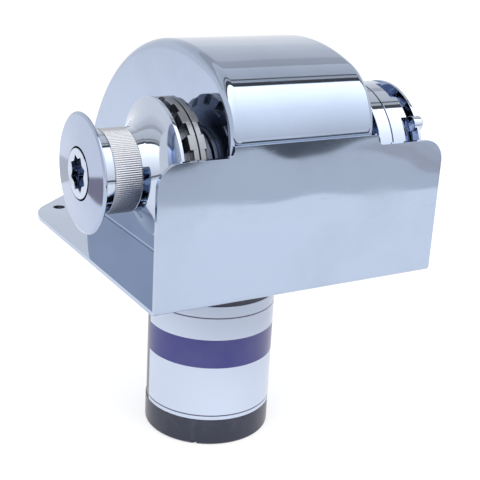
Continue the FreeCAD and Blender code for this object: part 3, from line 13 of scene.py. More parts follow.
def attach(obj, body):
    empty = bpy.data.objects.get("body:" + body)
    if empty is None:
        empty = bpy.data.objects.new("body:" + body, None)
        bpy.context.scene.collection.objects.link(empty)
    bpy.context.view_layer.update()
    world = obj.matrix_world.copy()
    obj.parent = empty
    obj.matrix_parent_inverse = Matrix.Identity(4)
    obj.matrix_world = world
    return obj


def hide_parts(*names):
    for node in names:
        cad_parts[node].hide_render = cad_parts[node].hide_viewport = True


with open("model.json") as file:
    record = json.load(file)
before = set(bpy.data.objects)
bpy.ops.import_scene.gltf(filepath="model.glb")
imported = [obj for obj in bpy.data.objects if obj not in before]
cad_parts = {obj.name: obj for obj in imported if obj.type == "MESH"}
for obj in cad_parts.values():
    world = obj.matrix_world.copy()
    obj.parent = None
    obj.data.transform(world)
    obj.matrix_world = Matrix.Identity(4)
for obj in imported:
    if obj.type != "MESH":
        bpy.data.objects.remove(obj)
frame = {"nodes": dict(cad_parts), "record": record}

log = logging.getLogger("windlass")

MM = 0.001
MERGE_DISTANCE = 2e-6
SEAM_DISTANCE = 1e-7
POLE_RADIUS = 1e-6
FLAT_ANGLE = math.radians(0.4)
POCKET_COLUMNS = 6
LAND_COLUMNS = 14
SHAFT_Y, SHAFT_Z = -76.0, 81.0
MOTOR_X, MOTOR_Y = -13.0, -31.0
Color = tuple[float, float, float]
Radius = float | Callable[[float], float]
Stop = tuple[float, Radius] | tuple[float, Radius, float]
Sockets = bpy.types.bpy_prop_collection


class Line(Enum):
    """The lines that turned pieces run on."""

    SHAFT = "shaft"
    MOTOR = "motor"
    ORIGIN = "origin"

    def place(self, along: float, radius: float, angle: float) -> tuple[float, float, float]:
        """A point in millimetres from its place along the line, its radius and its angle.

        Args:
            along: distance along the line.
            radius: distance from the line.
            angle: turn about the line.

        Returns:
            The point in metres.
        """
        across, up = radius * math.cos(angle), radius * math.sin(angle)
        if self is Line.SHAFT:
            return along * MM, (across + SHAFT_Y) * MM, (up + SHAFT_Z) * MM
        if self is Line.MOTOR:
            return (across + MOTOR_X) * MM, (up + MOTOR_Y) * MM, along * MM
        return across * MM, up * MM, along * MM


class Body(Enum):
    """The rigid bodies that pieces ride on."""

    HOUSING = "housing"
    SHAFT = "drive_shaft"
    DRUM = "drum"
    SCREW = "socket_screw"
    LEFT_GYPSY = "left_gypsy"
    RIGHT_GYPSY = "right_gypsy"
    NUT = "right_nut"


# Shapes

def star(across_flats: float, points: int, turn: float) -> Callable[[float], float]:
    """The radius by angle of a star made of two squares, or of a hexagon.

    Args:
        across_flats: width between two flats.
        points: eight for the star of two squares, six for a hexagon.
        turn: angle of the first corner.

    Returns:
        A function from angle to radius.
    """
    sides = 4 if points == 8 else 6
    half = across_flats / 2

    def polygon(angle: float, shift: float) -> float:
        """The radius of one polygon at an angle.

        Args:
            angle: the angle.
            shift: turn of this polygon from the first.

        Returns:
            The radius.
        """
        step = 2 * math.pi / sides
        local = (angle - turn - shift + step / 2) % step - step / 2
        return half / math.cos(step / 2 - abs(local))

    if points == 8:
        return lambda angle: max(polygon(angle, 0), polygon(angle, math.pi / 4))
    return lambda angle: polygon(angle, 0)


def arc(start: tuple[float, float], end: tuple[float, float], radius: float, left: bool,
        steps: int = 12) -> list[tuple[float, float]]:
    """Points between two ends of an arc, without the ends.

    Args:
        start: first end.
        end: second end.
        radius: radius of the arc.
        left: whether the arc lies to the left of the way from start to end.
        steps: number of parts.

    Returns:
        The points inside the arc.
    """
    a, b = Vector(start), Vector(end)
    chord = b - a
    half = chord.length / 2
    side = Vector((-chord.y, chord.x)).normalized() * (1 if left else -1)
    centre = (a + b) / 2 - side * math.sqrt(radius ** 2 - half ** 2)
    first, last = a - centre, b - centre
    sweep = first.angle_signed(last)
    points = []
    for index in range(1, steps):
        turn = Matrix.Rotation(-sweep * index / steps, 2)
        points.append(tuple(centre + turn @ first))
    return points


def eased(stops: list[Stop], steps: int = 4, share: float = 0.45) -> list[tuple[float, Radius]]:
    """A closed outline whose corners are rounded by their third number.

    Args:
        stops: places and radii, with the rounding where a corner has one.
        steps: number of parts of a rounding.
        share: largest share of a side that a rounding takes.

    Returns:
        The outline as plain places and radii.
    """
    result: list[tuple[float, Radius]] = []
    count = len(stops)
    for index, stop in enumerate(stops):
        size = stop[2] if len(stop) > 2 else 0
        before, after = stops[index - 1], stops[(index + 1) % count]
        if not size or callable(stop[1]) or callable(before[1]) or callable(after[1]):
            result.append((stop[0], stop[1]))
            continue
        here = Vector(stop[:2])
        back, ahead = Vector(before[:2]) - here, Vector(after[:2]) - here
        opening = back.angle(ahead)
        reach = min(size / math.tan(opening / 2), back.length * share, ahead.length * share)
        first, last = here + back.normalized() * reach, here + ahead.normalized() * reach
        for part in range(steps + 1):
            t = part / steps
            point = first * (1 - t) ** 2 + here * 2 * t * (1 - t) + last * t ** 2
            result.append(tuple(point))
    return result


def turned(stops: list[Stop], line: Line, segments: int = 144) -> bmesh.types.BMesh:
    """A closed turned shape from its outline.

    Args:
        stops: places along the line and radii, in millimetres.
        line: the line that it turns about.
        segments: number of parts of the round.

    Returns:
        The shape.
    """
    shape = bmesh.new()
    rings = []
    for along, radius in eased(stops):
        if not callable(radius) and radius < POLE_RADIUS:
            rings.append([shape.verts.new(line.place(along, 0, 0))])
            continue
        ring = []
        for index in range(segments):
            angle = 2 * math.pi * index / segments
            reach = radius(angle) if callable(radius) else radius
            ring.append(shape.verts.new(line.place(along, reach, angle)))
        rings.append(ring)
    for index, ring in enumerate(rings):
        join_rings(shape, ring, rings[(index + 1) % len(rings)])
    bmesh.ops.recalc_face_normals(shape, faces=shape.faces)
    return shape


def join_rings(shape: bmesh.types.BMesh, first: list[bmesh.types.BMVert],
               second: list[bmesh.types.BMVert]) -> None:
    """Faces between two rings, either of which may be a single point.

    Args:
        shape: the shape that the rings are in.
        first: one ring.
        second: the other ring.
    """
    count = max(len(first), len(second))
    if count == 1:
        return
    for index in range(count):
        following = (index + 1) % count
        corners = [first[index % len(first)], first[following % len(first)],
                   second[following % len(second)], second[index % len(second)]]
        unique = list(dict.fromkeys(corners))
        if len(unique) > 2:
            shape.faces.new(unique)


def milled(land: list[Stop], cut: list[Stop], count: int, width: float, phase: float,
           line: Line) -> bmesh.types.BMesh:
    """A turned shape with pockets cut into it at equal angles.

    Args:
        land: the outline between the pockets.
        cut: the outline in a pocket, with as many stops.
        count: number of pockets.
        width: angle that a pocket takes.
        phase: angle of the first pocket's middle.
        line: the line that it turns about.

    Returns:
        The shape.
    """
    shape = bmesh.new()
    pitch = 2 * math.pi / count
    columns = []
    for index in range(count):
        start = phase + index * pitch - width / 2
        inside = [(start + width * i / POCKET_COLUMNS, cut) for i in range(POCKET_COLUMNS + 1)]
        gap = pitch - width
        outside = [(start + width + gap * i / LAND_COLUMNS, land) for i in range(LAND_COLUMNS + 1)]
        columns += inside + outside
    made = [[shape.verts.new(line.place(stop[0], stop[1], angle)) for stop in outline]
            for angle, outline in columns]
    for index, column in enumerate(made):
        following = made[(index + 1) % len(made)]
        for row in range(len(column)):
            below = (row + 1) % len(column)
            shape.faces.new((column[row], column[below], following[below], following[row]))
    bmesh.ops.remove_doubles(shape, verts=shape.verts, dist=SEAM_DISTANCE)
    bmesh.ops.recalc_face_normals(shape, faces=shape.faces)
    return shape


def sleeve(inner: float, outer: float, low: float, high: float, start: float, end: float,
           line: Line, steps: int = 120) -> bmesh.types.BMesh:
    """A thin sleeve that goes only part of the way round.

    Args:
        inner: inside radius.
        outer: outside radius.
        low: lower end.
        high: upper end.
        start: first angle in degrees.
        end: last angle in degrees.
        line: the line that it goes round.
        steps: number of parts of the round.

    Returns:
        The shape.
    """
    shape = bmesh.new()
    columns = []
    for index in range(steps + 1):
        angle = math.radians(start + (end - start) * index / steps)
        columns.append([shape.verts.new(line.place(z, r, angle))
                        for z, r in ((low, inner), (low, outer), (high, outer), (high, inner))])
    for first, second in zip(columns, columns[1:]):
        for row in range(4):
            below = (row + 1) % 4
            shape.faces.new((first[row], first[below], second[below], second[row]))
    shape.faces.new(columns[0])
    shape.faces.new(columns[-1])
    bmesh.ops.recalc_face_normals(shape, faces=shape.faces)
    return shape


def slab(corners: list[tuple[float, float]], low: float, high: float) -> bmesh.types.BMesh:
    """A flat piece from its plan outline.

    Args:
        corners: the outline in plan, in millimetres.
        low: height of its underside.
        high: height of its top.

    Returns:
        The shape.
    """
    shape = bmesh.new()
    base, top = ([shape.verts.new((x * MM, y * MM, z * MM)) for x, y in corners]
                 for z in (low, high))
    shape.faces.new(base)
    join_rings(shape, base, top)
    shape.faces.new(top)
    bmesh.ops.recalc_face_normals(shape, faces=shape.faces)
    return shape


def copied(node: str) -> bmesh.types.BMesh:
    """The form of a node of the frame with its triangles joined into plain faces.

    Args:
        node: name of the node.

    Returns:
        The shape.
    """
    shape = bmesh.new()
    shape.from_mesh(frame["nodes"][node].data)
    bmesh.ops.remove_doubles(shape, verts=shape.verts, dist=MERGE_DISTANCE)
    bmesh.ops.dissolve_limit(shape, angle_limit=FLAT_ANGLE, verts=shape.verts,
                             edges=shape.edges, use_dissolve_boundaries=False)
    return shape


# Pieces

@dataclass
class Edges:
    """How the edges of a piece are eased and shaded."""

    width: float = 0.0
    limit: float = 32.0
    segments: int = 3


def baked(piece: bpy.types.Object) -> bpy.types.Object:
    """Swap a piece's modifiers for the mesh that they give.

    Args:
        piece: the piece.

    Returns:
        The same piece.
    """
    graph = bpy.context.evaluated_depsgraph_get()
    source = piece.evaluated_get(graph)
    mesh = bpy.data.meshes.new_from_object(source, preserve_all_data_layers=True, depsgraph=graph)
    piece.modifiers.clear()
    piece.data = mesh
    mesh.name = piece.name
    return piece


def linked(name: str, mesh: bpy.types.Mesh) -> bpy.types.Object:
    """A new object in the scene.

    Args:
        name: its name.
        mesh: its mesh.

    Returns:
        The object.
    """
    piece = bpy.data.objects.new(name, mesh)
    bpy.context.scene.collection.objects.link(piece)
    return piece


def finished(name: str, shape: bmesh.types.BMesh, finish: "Finish", body: Body,
             nodes: tuple[str, ...] = (), edges: Edges = Edges(), wall: float = 0.0) -> bpy.types.Object:
    """Make a piece of a shape, dress it and let it ride on its body.

    Args:
        name: name of the piece.
        shape: its form, which is used up.
        finish: its finish.
        body: the body that it rides on.
        nodes: the frame's nodes that it stands for.
        edges: how its edges are eased.
        wall: thickness of its wall, where the shape is a single skin.

    Returns:
        The piece.
    """
    mesh = bpy.data.meshes.new(name)
    shape.to_mesh(mesh)
    shape.free()
    if "custom_normal" in mesh.attributes:
        mesh.attributes.remove(mesh.attributes["custom_normal"])
    mesh.materials.clear()
    mesh.materials.append(finish.material())
    for polygon in mesh.polygons:
        polygon.material_index = 0
    piece = linked(name, mesh)
    mesh.shade_smooth()
    mesh.set_sharp_from_angle(angle=math.radians(edges.limit))
    if wall:
        solid = piece.modifiers.new("wall", "SOLIDIFY")
        solid.thickness = wall * MM
        solid.offset = -1
    if edges.width:
        bevel = piece.modifiers.new("eased", "BEVEL")
        bevel.width = edges.width * MM
        bevel.segments = edges.segments
        bevel.limit_method = "ANGLE"
        bevel.angle_limit = math.radians(edges.limit)
        bevel.harden_normals = False
        bevel.miter_outer = "MITER_ARC"
    weighted = piece.modifiers.new("normals", "WEIGHTED_NORMAL")
    weighted.keep_sharp = True
    weighted.weight = 50
    return ridden(baked(piece), body, nodes)


def ridden(piece: bpy.types.Object, body: Body,
           nodes: tuple[str, ...]) -> bpy.types.Object:
    """Tell the frame what a finished piece rides on, stands for and is made of.

    Args:
        piece: the piece.
        body: the body that it rides on.
        nodes: the nodes that it stands for.

    Returns:
        The piece.
    """
    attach(piece, body.value)
    if nodes:
        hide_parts(*nodes)
    log.info("%s rides on %s, %d faces", piece.name, body.value, len(piece.data.polygons))
    return piece


def refined(name: str, node: str, finish: "Finish", body: Body, edges: Edges) -> None:
    """Swap a node of the frame for the same form with eased edges."""
    finished(name, copied(node), finish, body, (node,), edges)


# Shader boards

def blank_material(name: str) -> bpy.types.Material:
    """A material whose node tree is still empty.

    Args:
        name: its name.

    Returns:
        The material.
    """
    made = bpy.data.materials.new(name)
    made.use_nodes = True
    made.node_tree.nodes.clear()
    return made


class Board:
    """A node tree with short calls for its nodes and links."""

    def __init__(self, tree: bpy.types.NodeTree) -> None:
        """Keep the tree that the nodes go into."""
        self.tree = tree

    def add(self, kind: str, inputs: dict | None = None, **fields) -> bpy.types.Node:
        """A node with its input values and fields.

        Args:
            kind: type of the node, without its prefix.
            inputs: values or sockets by input name or number.
            fields: the node's own fields.

        Returns:
            The node.
        """
        prefix = "GeometryNode" if self.tree.bl_idname == "GeometryNodeTree" else "ShaderNode"
        name = kind if kind.startswith(("Node", "Function", "Shader")) else prefix + kind
        node = self.tree.nodes.new(name)
        for field_name, value in fields.items():
            setattr(node, field_name, value)
        for key, value in (inputs or {}).items():
            if isinstance(value, bpy.types.NodeSocket):
                self.tree.links.new(value, node.inputs[key])
            else:
                node.inputs[key].default_value = value
        return node

    def lead(self, socket: bpy.types.NodeSocket, shader: bpy.types.Node, name: str) -> None:
        """Link a socket to an input of the shader by its name."""
        self.tree.links.new(socket, shader.inputs[name])

    def place(self) -> bpy.types.NodeSocket:
        """The place on the piece."""
        return self.add("TexCoord").outputs["Object"]

    def parts(self, vector: object) -> Sockets:
        """The three parts of a vector."""
        return self.add("SeparateXYZ", {0: vector}).outputs

    def noise(self, place: object, scale: object, detail: float,
              roughness: float = 0.5) -> bpy.types.NodeSocket:
        """Cloudy noise at a place, with its scale, its finer layers and their share."""
        return self.add("TexNoise", {"Vector": place, "Scale": scale, "Detail": detail,
                                     "Roughness": roughness}).outputs[0]

    def math(self, operation: str, first: object, second: object = 0.0) -> bpy.types.NodeSocket:
        """The result of one sum on two values or sockets."""
        return self.add("Math", {0: first, 1: second}, operation=operation).outputs[0]

    def spread(self, value: object, low: float, high: float, to_low: float,
               to_high: float) -> bpy.types.NodeSocket:
        """A value moved from one range to another and kept inside it."""
        return self.add("MapRange", {0: value, 1: low, 2: high, 3: to_low, 4: to_high}).outputs[0]

    def blend(self, share: object, first: object, second: object) -> bpy.types.NodeSocket:
        """A mix of two colours.

        Args:
            share: share of the second colour.
            first: first colour or socket.
            second: second colour or socket.

        Returns:
            The socket with the colour.
        """
        node = self.add("Mix", {0: share}, data_type="RGBA")
        for number, value in ((6, first), (7, second)):
            if isinstance(value, bpy.types.NodeSocket):
                self.tree.links.new(value, node.inputs[number])
            else:
                node.inputs[number].default_value = (*value[:3], 1)
        return node.outputs[2]


class Effect:
    """A shader group that several finishes share, built at its first use."""

    name = ""
    inputs: dict[str, float] = {}
    outputs: tuple[str, ...] = ()

    def __init__(self) -> None:
        """Start with the group not yet built."""
        self.built: bpy.types.NodeTree | None = None

    def tree(self) -> bpy.types.NodeTree:
        """The group with its named inputs and outputs.

        Returns:
            The group.
        """
        if self.built is None:
            self.built = bpy.data.node_groups.new(self.name, "ShaderNodeTree")
            sockets = self.built.interface
            for label, value in self.inputs.items():
                socket = sockets.new_socket(label, in_out="INPUT", socket_type="NodeSocketFloat")
                socket.default_value = value
            for label in self.outputs:
                sockets.new_socket(label, in_out="OUTPUT", socket_type="NodeSocketFloat")
            board = Board(self.built)
            board.add("NodeGroupOutput", self.fill(board, board.add("NodeGroupInput").outputs))
        return self.built

    def fill(self, board: Board, given: Sockets) -> dict[str, bpy.types.NodeSocket]:
        """The effect's own nodes, as a socket for each output."""
        raise NotImplementedError(self.name)


class Haze(Effect):
    """Polished metal: masks of a wiped film and of hairlines, and the height of a soft swell."""

    name = "wiped_haze"
    inputs = {"Scale": 14.0, "Swell Scale": 9.0}
    outputs = ("Film", "Hairlines", "Height")

    def fill(self, board: Board, given: Sockets) -> dict[str, bpy.types.NodeSocket]:
        """Take the film from cloudy noise and the hairlines from stretched noise.

        Args:
            board: the group's board.
            given: sockets of the group's inputs.

        Returns:
            The socket for each output.
        """
        place = board.place()
        cloud = board.noise(place, given["Scale"], 4.0, 0.6)
        stretched = board.add("Mapping", {"Vector": place, "Scale": (90.0, 700.0, 520.0),
                                          "Rotation": (0.3, 0.2, 0.5)}).outputs[0]
        lines = board.noise(stretched, 1.0, 2.0)
        return {"Film": board.spread(cloud, 0.46, 0.72, 0.0, 1.0),
                "Hairlines": board.spread(lines, 0.64, 0.74, 0.0, 1.0),
                "Height": board.noise(place, given["Swell Scale"], 1.0)}


class Rings(Effect):
    """Fine rings left by the lathe round a line along X."""

    name = "lathe_rings"
    inputs = {"Pitch": 0.0004, "Line Y": SHAFT_Y * MM, "Line Z": SHAFT_Z * MM}
    outputs = ("Height",)

    def fill(self, board: Board, given: Sockets) -> dict[str, bpy.types.NodeSocket]:
        """Run noise along the distance from the line and the way along it.

        Args:
            board: the group's board.
            given: sockets of the group's inputs.

        Returns:
            The socket of the height.
        """
        parts = board.parts(board.place())
        across = board.math("SUBTRACT", parts[1], given["Line Y"])
        up = board.math("SUBTRACT", parts[2], given["Line Z"])
        square = board.math("ADD", board.math("MULTIPLY", across, across),
                            board.math("MULTIPLY", up, up))
        radius = board.math("SQRT", square)
        way = board.math("DIVIDE", board.math("ADD", radius, parts[0]), given["Pitch"])
        noise = board.add("TexNoise", {"W": way, "Scale": 1.0, "Detail": 3.0, "Roughness": 0.7},
                          noise_dimensions="1D").outputs[0]
        return {"Height": noise}


class Grain(Effect):
    """Pits and cloudy tone of cast, painted and moulded surfaces."""

    name = "surface_grain"
    inputs = {"Grain Scale": 900.0}
    outputs = ("Height", "Tone")

    def fill(self, board: Board, given: Sockets) -> dict[str, bpy.types.NodeSocket]:
        """Take the pits from noise and cells, and the tone from coarser noise.

        Args:
            board: the group's board.
            given: sockets of the group's inputs.

        Returns:
            The socket for each output.
        """
        place, scale = board.place(), given["Grain Scale"]
        fine = board.noise(place, scale, 3.0)
        cells = board.add("TexVoronoi", {"Vector": place, "Scale": scale}).outputs[0]
        tone = board.noise(place, 26.0, 5.0)
        height = board.math("ADD", fine, board.math("MULTIPLY", cells, 0.4))
        return {"Height": height, "Tone": board.spread(tone, 0.3, 0.7, 0.0, 1.0)}


class Wear(Effect):
    """Bare edges where a surface is rubbed."""

    name = "rubbed_edges"
    inputs = {"Amount": 1.0}
    outputs = ("Mask",)

    def fill(self, board: Board, given: Sockets) -> dict[str, bpy.types.NodeSocket]:
        """Take the sharp edges and break them up with noise.

        Args:
            board: the group's board.
            given: sockets of the group's inputs.

        Returns:
            The socket of the mask.
        """
        bend = board.add("NewGeometry").outputs["Pointiness"]
        noise = board.noise(board.place(), 160.0, 4.0)
        rough = board.math("ADD", bend, board.math("MULTIPLY", noise, 0.05))
        mask = board.spread(rough, 0.545, 0.60, 0.0, 1.0)
        return {"Mask": board.math("MULTIPLY", mask, given["Amount"])}


class Dust(Effect):
    """Thin dust on faces that look up."""

    name = "settled_dust"
    inputs = {"Amount": 0.5}
    outputs = ("Mask",)

    def fill(self, board: Board, given: Sockets) -> dict[str, bpy.types.NodeSocket]:
        """Take the faces that look up and leave the dust in patches.

        Args:
            board: the group's board.
            given: sockets of the group's inputs.

        Returns:
            The socket of the mask.
        """
        facing = board.parts(board.add("NewGeometry").outputs["Normal"])[2]
        noise = board.noise(board.place(), 55.0, 6.0)
        upward = board.spread(facing, 0.4, 1.0, 0.0, 1.0)
        patches = board.spread(noise, 0.45, 0.75, 0.0, 1.0)
        both = board.math("MULTIPLY", upward, patches)
        return {"Mask": board.math("MULTIPLY", both, given["Amount"])}


HAZE, RINGS, GRAIN, WEAR, DUST = Haze(), Rings(), Grain(), Wear(), Dust()
BUILT: dict[str, bpy.types.Material] = {}


# Finishes

@dataclass(frozen=True)
class Finish:
    """A surface: its slot in the record, its colour and how it shines."""

    slot: str
    name: str
    color: Color
    roughness: float
    metallic: float = 0.0

    def material(self) -> bpy.types.Material:
        """The material of this finish, made at its first use.

        Returns:
            The material.
        """
        found = BUILT.get(self.name)
        if found:
            return found
        made = BUILT[self.name] = blank_material(self.name + "_finish")
        board = Board(made.node_tree)
        shader = board.add("BsdfPrincipled", {"Base Color": (*self.color, 1.0),
                                              "Roughness": self.roughness,
                                              "Metallic": self.metallic})
        self.dress(board, shader)
        board.add("OutputMaterial", {0: shader.outputs[0]})
        return made

    def dress(self, board: Board, shader: bpy.types.Node) -> None:
        """Add what makes this finish more than a plain colour."""

    def bump(self, board: Board, shader: bpy.types.Node, height: object, depth: float,
             normal: object = None) -> bpy.types.NodeSocket:
        """Lead a height into the shader's normal.

        Args:
            board: the material's board.
            shader: its shader.
            height: socket of the height.
            depth: depth of the relief in metres.
            normal: an earlier normal to add to.

        Returns:
            The socket of the normal.
        """
        inputs = {"Height": height, "Distance": depth, "Strength": 1.0}
        if normal is not None:
            inputs["Normal"] = normal
        node = board.add("Bump", inputs)
        board.lead(node.outputs[0], shader, "Normal")
        return node.outputs[0]

    def use(self, board: Board, effect: Effect, **values: float) -> bpy.types.Node:
        """Place a shared effect in a material with its own values.

        Args:
            board: the material's board.
            effect: the effect.
            values: input values, with underscores for spaces.

        Returns:
            The placed node.
        """
        node = board.add("Group", node_tree=effect.tree())
        for key, value in values.items():
            node.inputs[key.replace("_", " ")].default_value = value
        return node


@dataclass(frozen=True)
class Polished(Finish):
    """Polished metal with a wiped film, hairlines and a soft swell."""

    film: float = 0.05
    hairlines: float = 0.06
    swell: float = 0.0003
    rings: float = 0.0
    film_tone: float = 0.93

    def dress(self, board: Board, shader: bpy.types.Node) -> None:
        """Add film, hairlines, swell and lathe rings.

        Args:
            board: the material's board.
            shader: its shader.
        """
        haze = self.use(board, HAZE)
        film = board.math("MULTIPLY", haze.outputs["Film"], self.film)
        hair = board.math("MULTIPLY", haze.outputs["Hairlines"], self.hairlines)
        rough = board.math("ADD", board.math("ADD", film, hair), self.roughness)
        board.lead(rough, shader, "Roughness")
        darker = tuple(part * self.film_tone for part in self.color)
        board.lead(board.blend(haze.outputs["Film"], self.color, darker), shader, "Base Color")
        normal = self.bump(board, shader, haze.outputs["Height"], self.swell)
        if self.rings:
            ring = self.use(board, RINGS)
            self.bump(board, shader, ring.outputs["Height"], self.rings, normal)


@dataclass(frozen=True)
class DrilledSheet(Polished):
    """Polished sheet with painted shade on the walls of its drilled bolt holes, which are coloured
    nearly black.
    """

    hole_x: float = 0.087
    hole_y: float = 0.095
    hole_radius: float = 0.0048
    # painted shade colour for the walls of the bolt holes
    wall: Color = (0.03, 0.032, 0.04)

    def dress(self, board: Board, shader: bpy.types.Node) -> None:
        """Add the polish, then paint shade onto the walls of the four bolt holes.

        Args:
            board: the material's board.
            shader: its shader.
        """
        super().dress(board, shader)
        parts = board.parts(board.place())
        squares = []
        for axis, place in ((0, self.hole_x), (1, self.hole_y)):
            offset = board.math("SUBTRACT", board.math("ABSOLUTE", parts[axis]), place)
            squares.append(board.math("MULTIPLY", offset, offset))
        distance = board.math("SQRT", board.math("ADD", *squares))
        # painted shade: inside each bolt hole the colour turns nearly black
        inside = board.math("LESS_THAN", distance, self.hole_radius)
        tint = shader.inputs["Base Color"].links[0].from_socket
        board.lead(board.blend(inside, tint, self.wall), shader, "Base Color")


@dataclass(frozen=True)
class Turned(Finish):
    """Metal as it comes off the lathe."""

    depth: float = 0.000012
    pitch: float = 0.0004
    valley: float = 0.8
    crest: float = 1.25
    bright: float = 1.25

    def dress(self, board: Board, shader: bpy.types.Node) -> None:
        """Add lathe rings, tone and rubbed edges.

        Args:
            board: the material's board.
            shader: its shader.
        """
        ring = self.use(board, RINGS, Pitch=self.pitch)
        self.bump(board, shader, ring.outputs["Height"], self.depth)
        rough = board.spread(ring.outputs["Height"], 0.3, 0.7, self.roughness * self.valley,
                             self.roughness * self.crest)
        board.lead(rough, shader, "Roughness")
        edge = self.use(board, WEAR)
        rubbed = tuple(min(1.0, part * self.bright) for part in self.color)
        board.lead(board.blend(edge.outputs["Mask"], self.color, rubbed), shader, "Base Color")


@dataclass(frozen=True)
class Coated(Finish):
    """Cast, painted, moulded and pressed surfaces with their grain."""

    grain: float = 900.0
    depth: float = 0.00002
    tone: float = 0.15
    lift: float = 0.004
    worn: Color | None = None
    wear: float = 0.7
    dust: float = 0.25
    dust_color: Color = (0.42, 0.42, 0.44)
    dust_roughness: float = 0.3

    def dress(self, board: Board, shader: bpy.types.Node) -> None:
        """Add grain, tone, rubbed edges and dust.

        Args:
            board: the material's board.
            shader: its shader.
        """
        grain = self.use(board, GRAIN, Grain_Scale=self.grain)
        self.bump(board, shader, grain.outputs["Height"], self.depth)
        lighter = tuple(min(1.0, part * (1 + self.tone) + self.lift) for part in self.color)
        color = board.blend(grain.outputs["Tone"], self.color, lighter)
        if self.worn:
            edge = self.use(board, WEAR, Amount=self.wear)
            color = board.blend(edge.outputs["Mask"], color, self.worn)
        settled = self.use(board, DUST, Amount=self.dust)
        board.lead(board.blend(settled.outputs["Mask"], color, self.dust_color), shader, "Base Color")
        duller = board.math("MULTIPLY", settled.outputs["Mask"], self.dust_roughness)
        board.lead(board.math("ADD", duller, self.roughness), shader, "Roughness")


@dataclass(frozen=True)
class PrintedFilm(Finish):
    """Pale printed film with a plain band and two thin border lines."""

    band: Color = (0.02, 0.022, 0.2)
    line: Color = (0.05, 0.05, 0.12)
    band_low: float = -76.0
    band_high: float = -53.7
    line_top: float = -36.6
    line_bottom: float = -115.0
    line_half: float = 0.5
    grain: float = 1500.0
    depth: float = 0.000004
    fading: float = 0.06
    faded: Color = (0.5, 0.5, 0.55)
    coat: float = 0.25
    coat_roughness: float = 0.12

    def dress(self, board: Board, shader: bpy.types.Node) -> None:
        """Add the band, the lines, the print's grain and a clear coat.

        Args:
            board: the material's board.
            shader: its shader.
        """
        height = board.parts(board.place())[2]
        color: object = self.color
        lines = [(middle - self.line_half, middle + self.line_half, self.line)
                 for middle in (self.line_top, self.line_bottom)]
        for low, high, shade in [(self.band_low, self.band_high, self.band)] + lines:
            above = board.math("GREATER_THAN", height, low * MM)
            below = board.math("LESS_THAN", height, high * MM)
            color = board.blend(board.math("MULTIPLY", above, below), color, shade)
        grain = self.use(board, GRAIN, Grain_Scale=self.grain)
        share = board.math("MULTIPLY", grain.outputs["Tone"], self.fading)
        board.lead(board.blend(share, color, self.faded), shader, "Base Color")
        self.bump(board, shader, grain.outputs["Height"], self.depth)
        shader.inputs["Coat Weight"].default_value = self.coat
        shader.inputs["Coat Roughness"].default_value = self.coat_roughness


# Painted reflection: the steel-blue tint of these polished steel colours stands in for the blue-grey
# surround that the metal reflects, and is not the steel's own colour.
STAINLESS = Polished("polished_stainless", "polished_stainless", (0.40, 0.47, 0.61), 0.035, 1.0,
                     swell=0.0011)
SHEET = DrilledSheet("polished_stainless", "rolled_sheet", (0.41, 0.48, 0.61), 0.045, 1.0,
                     swell=0.003)
DISC_STEEL = Polished("polished_stainless", "disc_stainless", (0.38, 0.44, 0.58), 0.05, 1.0,
                      rings=0.000003, swell=0.00002)
# Painted light: this copy of the polished stainless has a lighter colour, so that the drum, screw, right
# gypsy with its pockets and the nut look more brightly lit.
LATHE_POLISH_PAINTED_LIGHT = Polished("polished_stainless", "lathe_polished_stainless", (0.51, 0.57, 0.69), 0.05, 1.0,
                        rings=0.000004, swell=0.00001)
# Painted shade: this copy of the polished stainless is darkened to stand in for the dark reflection
# under the cover's nose on the left gypsy.
RIM_STEEL_PAINTED_SHADE = Turned("polished_stainless", "milled_rim_steel", (0.26, 0.27, 0.30), 0.3, 1.0,
                   depth=0.000006)
BAND_STEEL = Turned("polished_stainless", "fluted_stainless", (0.45, 0.46, 0.49), 0.28, 1.0,
                    depth=0.000002)
STEEL = Turned("machined_steel", "machined_steel", (0.42, 0.43, 0.46), 0.28, 1.0)
CAST = Coated("cast_aluminium", "cast_aluminium", (0.42, 0.43, 0.45), 0.5, 1.0, depth=0.00005,
              worn=(0.6, 0.6, 0.62))
BRONZE = Turned("bronze", "machined_bronze", (0.58, 0.38, 0.14), 0.25, 1.0)
COPPER = Turned("copper", "wound_copper", (0.62, 0.27, 0.12), 0.3, 1.0, pitch=0.0012, depth=0.0001)
RUBBER = Coated("seal_rubber", "seal_rubber", (0.012, 0.012, 0.013), 0.62, depth=0.00001)
PAINT = Coated("motor_paint", "motor_paint", (0.014, 0.017, 0.04), 0.28, depth=0.00001,
               worn=(0.08, 0.09, 0.12), dust=0.1)
# The label's pale blue is partly its own silver-white and partly a painted blue cast of the light.
FILM = PrintedFilm("label_film", "label_film", (0.62, 0.70, 0.86), 0.3)
FERRITE = Coated("magnet_ferrite", "magnet_ferrite", (0.04, 0.04, 0.042), 0.6)
CORE = Turned("core_steel", "core_laminations", (0.14, 0.14, 0.15), 0.45, 1.0, pitch=0.0006,
              depth=0.00006)
PHENOLIC = Coated("insulator", "moulded_phenolic", (0.014, 0.014, 0.016), 0.4)
CARBON = Coated("carbon", "pressed_carbon", (0.02, 0.02, 0.022), 0.55)

SLOT_FINISHES: dict[str, Finish] = {
    finish.slot: finish for finish in (STAINLESS, STEEL, CAST, BRONZE, COPPER, RUBBER, PAINT, FILM,
                                       FERRITE, CORE, PHENOLIC, CARBON)}


def dress_frame_nodes() -> None:
    """Give every node of the frame the finish of its slot."""
    slots = {part["node"]: part["material_slot"] for part in frame["record"]["subparts"]}
    for name, node in frame["nodes"].items():
        material = SLOT_FINISHES[slots[name]].material()
        for slot in node.material_slots:
            slot.material = material


# Repeats

